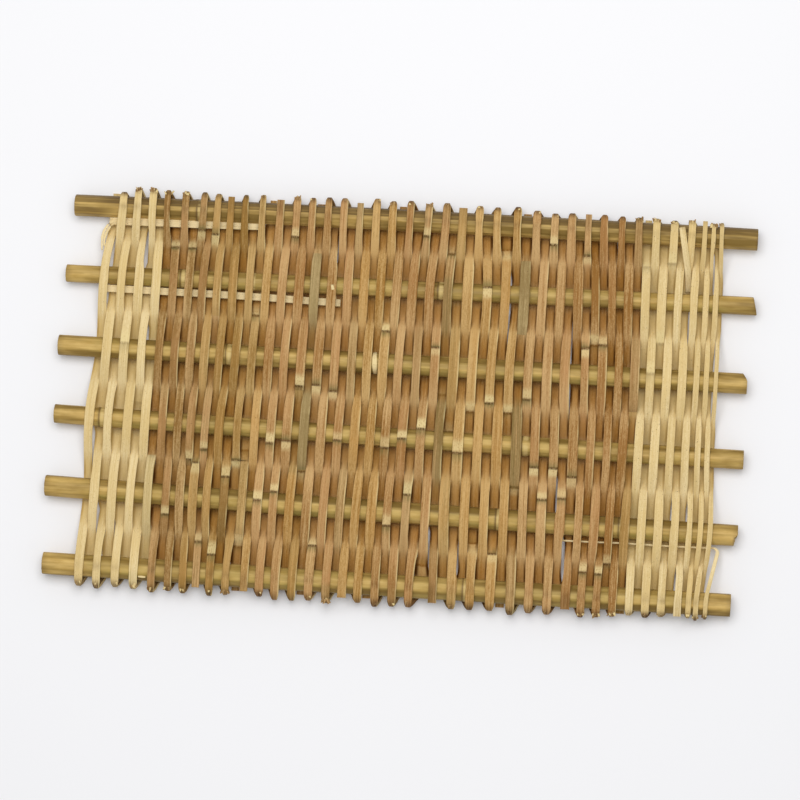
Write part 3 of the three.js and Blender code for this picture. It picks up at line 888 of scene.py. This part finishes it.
def shaved_bamboo():
    """Long fibres, knife marks, nodes and darker corners of a shaved rod, in the rod's own coordinates; the
    darker corners are partly its skin and partly painted shade.
    """
    found = bpy.data.node_groups.get("shaved_bamboo")
    if found:
        return found
    nodes, given, made = surface_group("shaved_bamboo", ROD_COLOURS)
    place = nodes.add("ShaderNodeTexCoord").outputs["Object"]
    fibre = nodes.grain(place, (25, 1500, 1500), 4.0)
    streak = nodes.grain(place, (9, 420, 420))
    patch = nodes.grain(place, (22, 190, 190))
    mottle = nodes.grain(place, (75, 230, 230))
    cloud = nodes.grain(place, (30, 120, 120))
    depth = nodes.layers(-0.45, (fibre, 0.3, 0.7, 0.4), (streak, 0.35, 0.65, 0.6), (mottle, 0.36, 0.64, 0.9))
    colour = nodes.mix(depth, given["Light"], given["Deep"])
    green = nodes.times(nodes.look("blush"), nodes.ramp(cloud, 0.3, 0.7))
    colour = nodes.mix(green, colour, given["Green"])
    skin = nodes.math("SUBTRACT", nodes.ramp(patch, 0.35, 0.65), 0.5)
    skin = nodes.math("ADD", nodes.look("tone"), skin, clamp=True)
    colour = nodes.mix(skin, colour, given["Skin"])
    scar = nodes.times(nodes.look("scar"), nodes.ramp(streak, 0.3, 0.5))
    colour = nodes.tinge(colour, scar, 0.8, given["Scar"])
    # Stains, dark node rings, and the painted shade on rod 1's upper flats.
    stain = nodes.times(nodes.look("stain"), nodes.ramp(fibre, 0.2, 0.6))
    dark_marks_and_shade = nodes.most(nodes.times(nodes.look("line"), 0.8), stain)
    colour = nodes.mix(dark_marks_and_shade, colour, given["Stain"])
    roughness = nodes.ramp(fibre, 0, 1, 0.34, 0.62)
    nodes.give(made, colour, roughness, nodes.math("ADD", fibre, streak))
    return nodes.tree


def new_material(name):
    """A new material and its shader."""
    material = bpy.data.materials.new(name)
    material.use_nodes = True
    return material, next(n for n in material.node_tree.nodes if n.type == "BSDF_PRINCIPLED")


def bamboo_material(name, surface, colours, bump_depth, gloss):
    """A bamboo material: one surface group with its own colours, and its bump."""
    material, shader = new_material(name)
    nodes = Nodes(material.node_tree)
    made = nodes.add("ShaderNodeGroup", node_tree=surface)
    for label, colour in colours.items():
        made.inputs[label].default_value = (*colour, 1)
    relief = {"Height": made.outputs["Height"], "Strength": 0.6, "Distance": bump_depth}
    nodes.tree.links.new(made.outputs["Color"], shader.inputs["Base Color"])
    nodes.tree.links.new(made.outputs["Roughness"], shader.inputs["Roughness"])
    nodes.tree.links.new(nodes.add("ShaderNodeBump", relief).outputs[0], shader.inputs["Normal"])
    shader.inputs["Specular IOR Level"].default_value = gloss
    return material


def splint_material(tone):
    name = f"{tone}_split_bamboo"
    found = bpy.data.materials.get(name)
    if found:
        return found
    settings = bpy.context.scene.mat_splints
    colours = {
        "Light": getattr(settings, f"{tone}_light"),
        "Deep": getattr(settings, f"{tone}_deep"),
        "Blush": getattr(settings, f"{tone}_blush"),
        "Scar": settings.scar,
        "Stain": settings.stain,
        "Smudge": settings.smudge,
        "Warm": settings.pale_warm if tone == "pale" else settings.warm,
        "Shade": settings.pale_shade if tone == "pale" else settings.shade,
    }
    return bamboo_material(name, split_bamboo(), colours, SPLINT_RELIEF, SPLINT_GLOSS)


def rod_material():
    found = bpy.data.materials.get("rod_shaved_bamboo")
    if found:
        return found
    settings = bpy.context.scene.mat_rods
    colours = {label: getattr(settings, label.lower()) for label in ROD_COLOURS}
    return bamboo_material("rod_shaved_bamboo", shaved_bamboo(), colours, ROD_RELIEF, ROD_GLOSS)


# Settings


def colour_setting(name, description, *values):
    return FloatVectorProperty(
        name=name, description=description, default=linear(*values), subtype="COLOR", size=3, min=0, max=1
    )


def length_setting(name, description, value):
    return FloatProperty(
        name=name, description=description, default=value, unit="LENGTH", subtype="DISTANCE"
    )


class RodSettings(bpy.types.PropertyGroup):
    """Finish of the shaved rods."""

    edge: length_setting("Edge", "Rounding of a rod's long edges", 0.001)
    light: colour_setting("Light", "Freshly shaved flats", 212, 178, 106)
    deep: colour_setting("Deep", "Darker fibres", 186, 151, 80)
    # Skin is the rods' dark skin colour, which the rods' tone also lays on as painted shade.
    skin: colour_setting("Skin", "Darker flats beside the shaved ones", 128, 102, 46)
    green: colour_setting("Green", "Green that is left inside the weave", 150, 140, 68)
    scar: colour_setting("Node", "Pale band at a bamboo node", 214, 188, 124)
    # The rods' stain colour also serves as painted shade on rod 1's upper flats.
    stain: colour_setting("Stain", "Dark rings and end grain", 92, 70, 38)


class SplintSettings(bpy.types.PropertyGroup):
    """Size and tones of the split splints."""

    thickness: length_setting("Thickness", "Thickness of a splint", 0.00115)
    pale_light: colour_setting("Pale, light", "Straw splints, brightest fibres", 236, 215, 166)
    pale_deep: colour_setting("Pale, deep", "Straw splints, darkest fibres", 208, 181, 124)
    pale_blush: colour_setting("Pale, blush", "Straw splints, warm clouds", 222, 192, 128)
    # The pale shade and pale warm colours are painted shade and painted warm light where straw splints dip
    # between others.
    pale_shade: colour_setting("Pale, shade", "Straw splints, where they press on each other", 190, 157, 92)
    pale_warm: colour_setting("Pale, warm", "Straw splints, where they dip between others", 232, 201, 130)
    brown_light: colour_setting("Brown, light", "Brown splints, brightest fibres", 204, 168, 115)
    brown_deep: colour_setting("Brown, deep", "Brown splints, darkest fibres", 144, 101, 47)
    brown_blush: colour_setting("Brown, blush", "Brown splints, reddish clouds", 187, 139, 90)
    honey_light: colour_setting("Honey, light", "Honey splints, brightest fibres", 205, 169, 111)
    honey_deep: colour_setting("Honey, deep", "Honey splints, darkest fibres", 151, 109, 48)
    honey_blush: colour_setting("Honey, blush", "Honey splints, golden clouds", 192, 146, 82)
    grey_light: colour_setting("Grey, light", "Weathered splints, brightest fibres", 194, 168, 119)
    grey_deep: colour_setting("Grey, deep", "Weathered splints, darkest fibres", 148, 120, 74)
    grey_blush: colour_setting("Grey, blush", "Weathered splints, green clouds", 164, 142, 94)
    scar: colour_setting("Node", "Pale band at a bamboo node", 229, 209, 152)
    # The stain colour also serves as painted shade in the folds and on rod 1's upper flats.
    stain: colour_setting("Stain", "Dark lines and scorched folds", 88, 60, 30)
    smudge: colour_setting("Smudge", "Grey green beside a bamboo node", 112, 105, 62)
    # Warm is painted warm light where splints dip between others; Shade is painted shade where they press on
    # each other, not old dirt.
    warm: colour_setting("Warm", "Where darker splints dip between others", 207, 144, 58)
    shade: colour_setting("Shade", "Old dirt where splints press on each other", 84, 47, 3)


class StageSettings(bpy.types.PropertyGroup):
    """Floor, light and camera."""

    floor: colour_setting("Floor", "Plain pale floor", 241, 241, 243)
    lens: FloatProperty(
        name="Lens", description="Focal length of the camera", default=171.26, subtype="DISTANCE_CAMERA"
    )
    ambient: FloatProperty(name="Ambient", description="Strength of the light all round", default=0.5, min=0)
    lamp: FloatProperty(name="Lamp", description="Power of the lamp", default=18.2, min=0, unit="POWER")


# Operators


class MAT_OT_shave_rods(bpy.types.Operator):
    """Shave the six rods, with eased edges, nodes and trimmed ends"""

    bl_idname = "bamboo_mat.shave_rods"
    bl_label = "Shave Rods"

    def execute(self, context):
        for number, rod in RODS_LAID.items():
            seat(shaved_rod(number, rod), "rod_bamboo", rod_material(), rod.name)
        return {"FINISHED"}


ROD_NODES = {1: (-124,), 2: (-131.5, -91, 19.7), 3: (-101.8,), 4: (-174, 73.5), 5: (60.8, 132), 6: (44,)}
# How dark the flats towards the upper and the lower edge are, rod by rod: partly darker skin, partly painted
# shade and painted light that set where each rod's bright band falls
ROD_SHADES = ((1, 1), (0.55, 0.15), (0.8, 0.4), (0.75, 0.1), (0.95, 0.05), (0.55, 0.8))
ROD_STEP = 4.0
NODE_STEP, NODE_STEPS = 0.8, 4
END_RINGS = (0.15, 0.35)  # how far from a rod's ends its chamfer has rings
END_CHAMFER = 0.035
# What the knife took from a rod, evenly, in long waves and in short ones
SHAVED_OFF, SHAVE_DEPTH, KNIFE_DEPTH = 0.18, 0.22, 0.1
ROD_SWELL, ROD_SWELL_HALF = 0.25, 2.4  # of a rod's node
ROD_BAND, ROD_BAND_HALF = 1.4, 1.6  # how far right of its node a rod's pale band lies, and half its width
ROD_LINE, ROD_LINE_HALF = 1.0, 0.6  # how far left of it the dark line lies, and half its width
TRIM_START, TRIM_END = 3.4, 0.2  # how far from a rod's right end its trim starts and is whole
TRIM_RING = 3.2
WEAVE_EDGE = (-4, 8)  # from how far outside to how far inside the weave a rod's look changes
RIDGED_ROD = 1  # this rod lies with an edge up, not a flat
RIDGED_SIZE = 0.965
RIDGED_EDGE = 1.1
RIDGE = (7, 8)  # the points of the section at that edge
FLAT_POINTS = 4  # of the section, on each flat


def rod_section(radius, edge):
    """An octagon with flats above and below, its corners eased, as (y, z)."""
    half = radius * math.tan(math.pi / FLATS)
    points = []
    for flat in range(FLATS):
        turn = flat * 2 * math.pi / FLATS
        for along in (-half + edge, -half + 1.6 * edge, half - 1.6 * edge, half - edge):
            points.append(Matrix.Rotation(turn, 2) @ Vector((radius, along)))
    return points


def trimmed(number, rod, x, y, end_share):
    """Where the saw or a split left a rod's right end short."""
    r = rod.radius
    cut = SHORT_CUT if number == 1 else 0
    if number == 2:
        cut = SLANT_DEPTH * (y + r) / (2 * r)
    if number == 3:
        cut = SPLINTER_DEPTH * max(0, (y - r + SPLINTER_HEIGHT) / SPLINTER_HEIGHT)
    if number == 5 and y < NOTCH_HEIGHT - r:
        cut = NOTCH_DEPTH
    return x - cut * end_share


def rod_places(rod, nodes):
    """Ring places along a rod, closer together round its nodes and at its ends."""
    count = round((rod.right - rod.left) / ROD_STEP)
    places = [lerp(rod.left, rod.right, n / count) for n in range(count + 1)]
    for node in nodes:
        places += [node + NODE_STEP * n for n in range(-NODE_STEPS, NODE_STEPS + 1)]
    places += [rod.left + inset for inset in END_RINGS]
    places += [rod.right - inset for inset in (*END_RINGS, TRIM_RING)]
    return sorted(places)


def rod_tone(number, index, slant, x, inside):
    """How much of the dark skin colour is laid at one point of a rod's section: partly skin that is left,
    partly painted shade on its side flats and inside the weave.
    """
    # Rod 1: a painted highlight along its ridge, and its upper flats darker, partly skin and partly painted
    # shade.
    if number == RIDGED_ROD:
        if index in RIDGE:
            return 0.5
        if slant > 0:
            return 1
        return 0.85 if slant > -45 else 0.2
    shade = ROD_SHADES[number - 1][0 if slant > 0 else 1]
    # Side flats darker, and darker still inside the weave: partly skin, partly painted shade where the
    # splints shade them.
    tone = smooth(10, 33, abs(slant)) * shade * lerp(0.5, 1, inside)
    tone += (0.12 if number == 2 else -0.04) + 0.15 * (1 - inside)
    return tone + 0.2 * drift(x / 40, index // FLAT_POINTS * 2.3, number + 4)


def rod_stain_and_shade(index, slant, x, inside, end_stain):
    """Dark marks of the ridged rod: stain and painted shade on its upper flats all along, stains on the
    others at its free left end.
    """
    if index in RIDGE:
        return end_stain
    if slant > 0:
        return max(end_stain, 0.6 + 0.2 * inside)
    return max(end_stain, 0.5 * (1 - inside) if x < 0 else 0)


def shaved_rod(number, rod):
    """One rod: an eased octagon along its line, with shaved flats, swollen nodes and trimmed ends."""
    ridged = number == RIDGED_ROD
    section = rod_section(rod.radius, RIDGED_EDGE if ridged else bpy.context.scene.mat_rods.edge / MM)
    if ridged:
        section = [Matrix.Rotation(math.pi / FLATS, 2) @ point * RIDGED_SIZE for point in section]
    slants = [math.degrees(math.atan2(y, z)) for y, z in section]
    roll = Matrix.Rotation(math.radians(ROD_ROLLS[number - 1]), 2)
    section = [roll @ point for point in section]
    nodes = ROD_NODES[number]
    places = rod_places(rod, nodes)
    rings = []
    looks = {look: [] for look in LOOKS}
    for x in places:
        to_end = min(x - rod.left, rod.right - x)
        chamfer = 1 - END_CHAMFER + END_CHAMFER * smooth(0, END_RINGS[-1], to_end)
        swell = max(bump(x - node, ROD_SWELL_HALF) for node in nodes)
        right_share = smooth(rod.right - TRIM_START, rod.right - TRIM_END, x)
        inside = smooth(*WEAVE_EDGE, min(x - WEAVE.left, WEAVE.left + WEAVE.woven - x))
        ring = []
        for index, (y, z) in enumerate(section):
            flat = index // FLAT_POINTS
            shave = SHAVE_DEPTH * drift(x / 55, flat * 3.1, number)
            shave += KNIFE_DEPTH * drift(x / 14, flat * 1.7, number + 9)
            size = chamfer * (1 + (ROD_SWELL * swell + shave - SHAVED_OFF) / rod.radius)
            end_x = trimmed(number, rod, x, y, right_share)
            across = y * size * ROD_BREADTHS[number - 1]
            ring.append(Vector((end_x, rod.y(x) + across, rod.z + z * size)) * MM)
        rings.append(ring)
        end_stain = 0.5 * (1 - smooth(0, 1.2, to_end))
        around = {"tone": [], "stain": [], "blush": []}
        for index, slant in enumerate(slants):
            green = (0.12 + 0.4 * inside) * (0.7 + 0.7 * smooth(10, 30, -slant))
            around["tone"].append(rod_tone(number, index, slant, x, inside))
            around["stain"].append(rod_stain_and_shade(index, slant, x, inside, end_stain) if ridged else end_stain)
            around["blush"].append(0.1 if ridged else green)
        for look, values in around.items():
            looks[look].append(values + values[:1])
        looks["scar"].append(max(bump(x - node - ROD_BAND, ROD_BAND_HALF) for node in nodes))
        looks["line"].append(max(bump(x - node + ROD_LINE, ROD_LINE_HALF) for node in nodes))
        for look in ("smudge", "grime", "side"):
            looks[look].append(0)
    crease = RIDGED_CREASE if ridged else ROD_CREASE
    return tube(rod.name.replace("rod", "shaved_rod"), rings, places, looks, crease)


class MAT_OT_weave_splints(bpy.types.Operator):
    """Weave the long splints over and under the rods"""

    bl_idname = "bamboo_mat.weave_splints"
    bl_label = "Weave Splints"

    def execute(self, context):
        for key, splint in enumerate(SPLINTS, 1):
            node, tone = splint[:2]
            piece = splint_piece(node.replace("strip", "splint"), splint_run(splint), key)
            seat(piece, f"{tone}_splint", splint_material(tone), node)
        return {"FINISHED"}


def beside_rod(number, start, end, width, wobble, sink):
    """Spots of a straight splint along the lower side of a rod, wobbling and sinking on the way."""
    rod = RODS_LAID[number]
    count = round(abs(end - start) / STEP)
    spots = []
    for n in range(count + 1):
        share = n / count
        x = lerp(start, end, share)
        y = rod.y(x) - rod.radius - CLEARANCE - width / 2 + wobble(x) - sink(share)
        # These splints get the lightest tone: partly their own straw colour, partly painted light against
        # the shadow of the splints over them.
        spots.append(even_spot(Vector((x, y, rod.z)), Vector((0, -1, 0)), width, tone=0, blush=0))
    return spots


def tucked_spots():
    low, high = (millimetres(corner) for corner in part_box("tucked_strip"))
    return beside_rod(
        2, low.x, high.x, TUCKED_WIDTH,
        lambda x: 0.3 * drift(x / 35, 4.2, 1.3), lambda share: TUCKED_DROP * share ** 1.5,
    )


def leaning_spots():
    """A loose end on the crossings over rod 1, slanting, with a straighter foot towards rod 2."""
    number = 2  # the wave of an even pass, which lies over rod 1
    first, second = (RODS_LAID[n].middle.y for n in (1, 2))
    top = first + LEANING_TOP
    middle = (first + second) / 2
    bottom = middle - LEANING_FOOT
    foot = WEAVE.left + WEAVE.woven - LEANING_INSET + RACK_SLOPE * first
    spots = []
    count = round((top - bottom) / STEP)
    for n in range(count + 1):
        y = lerp(top, bottom, n / count)
        height, _ = WEAVE.wave(number, y)
        slant = LEANING_SLANT * max(0, (y - middle) / (top - middle))
        slant -= LEANING_DRIFT * max(0, (middle - y) / LEANING_FOOT)
        spots.append(even_spot(Vector((foot - slant, y, height)), X_AXIS, LEANING_WIDTH, lift=1))
    return spots


# The first splint's tail is split at its left end, and the two slivers curl down beside pass 1.
# Points are millimetres right of pass 1 and above the tail.
OUTER_CURL = ((5, 0.8), (2.5, 0.4), (-0.6, -2), (-2.9, -6), (-3.7, -10), (-3.5, -14), (-3, -19))
INNER_CURL = ((5, -0.6), (3, -1), (0.6, -3.2), (-1.2, -6.5), (-2.2, -10), (-2.3, -13), (-1.8, -16))


def first_tail_spots():
    start = WEAVE.straight(1, RODS_LAID[1].middle.y)
    return beside_rod(
        1, start, start + FIRST_TAIL_REACH, FIRST_WIDTH,
        lambda x: 0.25 * drift(x / 30, 1, 0.5), lambda share: -FIRST_TAIL_RISE * share,
    )


def curl_spots(points, width):
    rod = RODS_LAID[1]
    tail = rod.middle.y - rod.radius - FIRST_WIDTH / 2
    origin = Vector((WEAVE.straight(1, rod.middle.y), tail, rod.z + CURL_THICKNESS))
    ends = [origin + Vector((x, y, 0.25 * n)) for n, (x, y) in enumerate(points)]
    spots = []
    for a, b in zip(ends, ends[1:]):
        for share in (0, 1 / 3, 2 / 3):
            spots.append(even_spot(a.lerp(b, share), Vector((1, 1, 0)), width, tone=0.1, blush=0.2))
    for spot in spots[-5:]:
        spot.left = spot.right = spot.left * CURL_TIP
    return spots


class MAT_OT_tuck_ends(bpy.types.Operator):
    """Tuck in the tail along rod 1 and the splint along rod 2, and lay the leaning end over rod 1"""

    bl_idname = "bamboo_mat.tuck_ends"
    bl_label = "Tuck Ends"

    def execute(self, context):
        key = len(SPLINTS)
        curls = [
            splint_piece("curl", curl_spots(points, CURL_WIDTH), key + n, CURL_THICKNESS)
            for n, points in enumerate((OUTER_CURL, INNER_CURL), 1)
        ]
        tail = splint_piece("first_tail", first_tail_spots(), key + 3)
        seat(join([tail, *curls], "first_tail"), "pale_splint", splint_material("pale"), "pale_left_strip")
        for node, spots in (("tucked_strip", tucked_spots()), ("leaning_strip", leaning_spots())):
            key += 4
            piece = splint_piece(node.replace("strip", "splint"), spots, key)
            seat(piece, "pale_splint", splint_material("pale"), node)
        return {"FINISHED"}


# Folds whose fibres broke badly: passes over rod 1 and over rod 6
FRAYED = {
    UP: (4, 6, 8, 10, 24, 32, 40, 58, 64, 66, 68, 70, 74),
    DOWN: (7, 9, 11, 19, 31, 43, 59, 61, 63, 69),
}
BROKEN_FIBRES, LOOSE_FIBRES = 12, 4
FIBRE_THICKNESS, FIBRE_STEPS = 0.35, 4
SLIVER_THICKNESS, SLIVER_STEPS = 0.6, 12
FIBRE_KEY, SLIVER_KEY = 60, 150  # their places in the noise


def folds(way):
    """The folds at one edge: the pass that comes to each, and the one of the two that lies over the rod."""
    for _, _, first, last, heading, _, _, _ in SPLINTS:
        for number in range(first, last):
            if heading == way:
                yield number, number if is_over(number, end_rod(heading)) else number + 1
            heading = -heading


def fray_spots(number, over, heading, n):
    """One broken fibre that stands out of a fold."""
    rod = end_rod(heading)
    laid = RODS_LAID[rod]
    broken = over in FRAYED[heading]
    x, y = WEAVE.crossings[over][rod - 1]
    side = 2 * chance(over, n, 3) - 1
    start = Vector((
        x + WEAVE.lean(over, 1) + (1.6 if broken else 1.2) * side,
        y + heading * (fold_reach(number, heading) - 1.3 - 1.6 * chance(over, n, 5)),
        laid.z + laid.seat * (0.3 + 0.55 * chance(over, n, 29)),
    ))
    length = 1.1 + (1.9 if broken else 0.6) * chance(over, n, 7) ** 2
    way = Vector((0.5 * side, heading, 0.8 * chance(over, n, 13) - 0.2))
    bend = Vector((0.5 * (chance(over, n, 17) - 0.5), 0, -0.3)) * length
    width = (1.0 if broken else 0.8) + 0.9 * chance(over, n, 19)
    spots = []
    for step in range(FIBRE_STEPS + 1):
        share = step / FIBRE_STEPS
        at = start + way.normalized() * length * share + bend * share * share
        spot = even_spot(at, X_AXIS, width * (1 - 0.5 * share), tone=0.3, blush=0)
        if chance(over, n, 23) < 0.3:
            spot.scar = 1
        else:
            spot.stain = 0.65 + 0.35 * chance(over, n, 31)
        spots.append(spot)
    return spots


# Split-off slivers that lie on the weave: rod below, from where to where, width, and height over that rod
SLIVERS = (
    (3, (-15.7, 28.4), (-15.0, 16.4), 3.0, 0.4),
    (6, (-145.9, -109.4), (-141.6, -109.6), 1.2, 0.5),
    (2, (-42.8, 66.5), (-40.8, 58.0), 1.9, 2.1),
)


def sliver_spots(rod_number, start, end, width, over):
    """A sliver bent down round its rod, thinner at both ends."""
    rod = RODS_LAID[rod_number]
    start, end = Vector(start), Vector(end)
    side = Vector((start.y - end.y, end.x - start.x)).normalized()
    spots = []
    for n in range(SLIVER_STEPS + 1):
        share = n / SLIVER_STEPS
        x, y = start.lerp(end, share)
        away = y - rod.y(x)
        height = rod.z + over + math.sqrt(max(rod.radius ** 2 - away ** 2, 1))
        broad = width * (0.75 + 0.25 * math.sin(math.pi * share))
        at = Vector((x, y, height))
        spots.append(even_spot(at, Vector((*side, 0)), broad, scar=0.6, tone=0.2, blush=0.2))
    return spots


class MAT_OT_fray_folds(bpy.types.Operator):
    """Fray the folds whose fibres broke, and lay the split-off slivers"""

    bl_idname = "bamboo_mat.fray_folds"
    bl_label = "Fray Folds"

    def execute(self, context):
        for name, heading in (("upper_frays", UP), ("lower_frays", DOWN)):
            fibres = [
                splint_piece(
                    "fibre", fray_spots(number, over, heading, n), FIBRE_KEY + over, FIBRE_THICKNESS
                )
                for number, over in folds(heading)
                for n in range(BROKEN_FIBRES if over in FRAYED[heading] else LOOSE_FIBRES)
            ]
            seat(join(fibres, name), "brown_splint", splint_material("brown"))
        slivers = [
            splint_piece("sliver", sliver_spots(*sliver), SLIVER_KEY + n, SLIVER_THICKNESS)
            for n, sliver in enumerate(SLIVERS)
        ]
        seat(join(slivers, "slivers"), "pale_splint", splint_material("pale"))
        return {"FINISHED"}


# The photograph's camera, in millimetres and degrees: over the mat, a little towards its lower right
CAMERA_PLACE = (158.87, -152.88, 2213.27)
CAMERA_TURNS = (-4.011, -4.103, -3.035)
SENSOR_WIDTH = 36
# In metres
FLOOR_SIZE = 6
LAMP_PLACE, LAMP_SIZE = (0, 0.35, 1.6), 1.3


def camera_matrix():
    tilt, swing, roll = (math.radians(angle) for angle in CAMERA_TURNS)
    turn = Matrix.Rotation(roll, 3, "Z") @ Matrix.Rotation(swing, 3, "Y") @ Matrix.Rotation(tilt, 3, "X")
    return Matrix.Translation(Vector(CAMERA_PLACE) * MM) @ turn.transposed().to_4x4()


def floor_material(colour):
    material, shader = new_material("floor")
    shader.inputs["Base Color"].default_value = (*colour, 1)
    shader.inputs["Roughness"].default_value = 0.9
    return material


class MAT_OT_set_stage(bpy.types.Operator):
    """Set a pale floor, soft light and the camera"""

    bl_idname = "bamboo_mat.set_stage"
    bl_label = "Set Stage"

    def execute(self, context):
        settings = context.scene.mat_stage
        deselect()
        bpy.ops.mesh.primitive_plane_add(size=FLOOR_SIZE)
        floor = context.object
        floor.name = "floor"
        floor.data.materials.append(floor_material(settings.floor))
        bpy.ops.object.light_add(type="AREA", location=LAMP_PLACE)
        lamp = context.object
        lamp.data.shape = "DISK"
        lamp.data.size = LAMP_SIZE
        lamp.data.energy = settings.lamp
        lamp.rotation_euler = (-lamp.location).to_track_quat("-Z", "Y").to_euler()
        world = bpy.data.worlds.new("studio")
        world.use_nodes = True
        background = world.node_tree.nodes["Background"]
        background.inputs["Color"].default_value = (1, 1, 1, 1)
        background.inputs["Strength"].default_value = settings.ambient
        context.scene.world = world
        bpy.ops.object.camera_add()
        camera = context.object
        camera.data.lens = settings.lens
        camera.data.sensor_width = SENSOR_WIDTH
        camera.matrix_world = camera_matrix()
        context.scene.camera = camera
        context.scene.view_settings.view_transform = "Standard"
        return {"FINISHED"}


class MAT_PT_panel(bpy.types.Panel):
    """The steps of making the mat, in order"""

    bl_idname = "MAT_PT_panel"
    bl_label = "Bamboo Mat"
    bl_space_type = "VIEW_3D"
    bl_region_type = "UI"
    bl_category = "Bamboo Mat"

    def draw(self, context):
        for step in STEPS:
            self.layout.operator(step.bl_idname)
        for settings in (context.scene.mat_rods, context.scene.mat_splints, context.scene.mat_stage):
            box = self.layout.box()
            for name in settings.__annotations__:
                box.prop(settings, name)


STEPS = (MAT_OT_shave_rods, MAT_OT_weave_splints, MAT_OT_tuck_ends, MAT_OT_fray_folds, MAT_OT_set_stage)
CLASSES = (RodSettings, SplintSettings, StageSettings, *STEPS, MAT_PT_panel)


def register():
    for item in CLASSES:
        bpy.utils.register_class(item)
    bpy.types.Scene.mat_rods = PointerProperty(type=RodSettings)
    bpy.types.Scene.mat_splints = PointerProperty(type=SplintSettings)
    bpy.types.Scene.mat_stage = PointerProperty(type=StageSettings)


def unregister():
    for name in ("mat_rods", "mat_splints", "mat_stage"):
        delattr(bpy.types.Scene, name)
    for item in reversed(CLASSES):
        bpy.utils.unregister_class(item)


def main():
    register()
    bpy.ops.bamboo_mat.shave_rods()
    bpy.ops.bamboo_mat.weave_splints()
    bpy.ops.bamboo_mat.tuck_ends()
    bpy.ops.bamboo_mat.fray_folds()
    bpy.ops.bamboo_mat.set_stage()


if __name__ == "__main__":
    main()
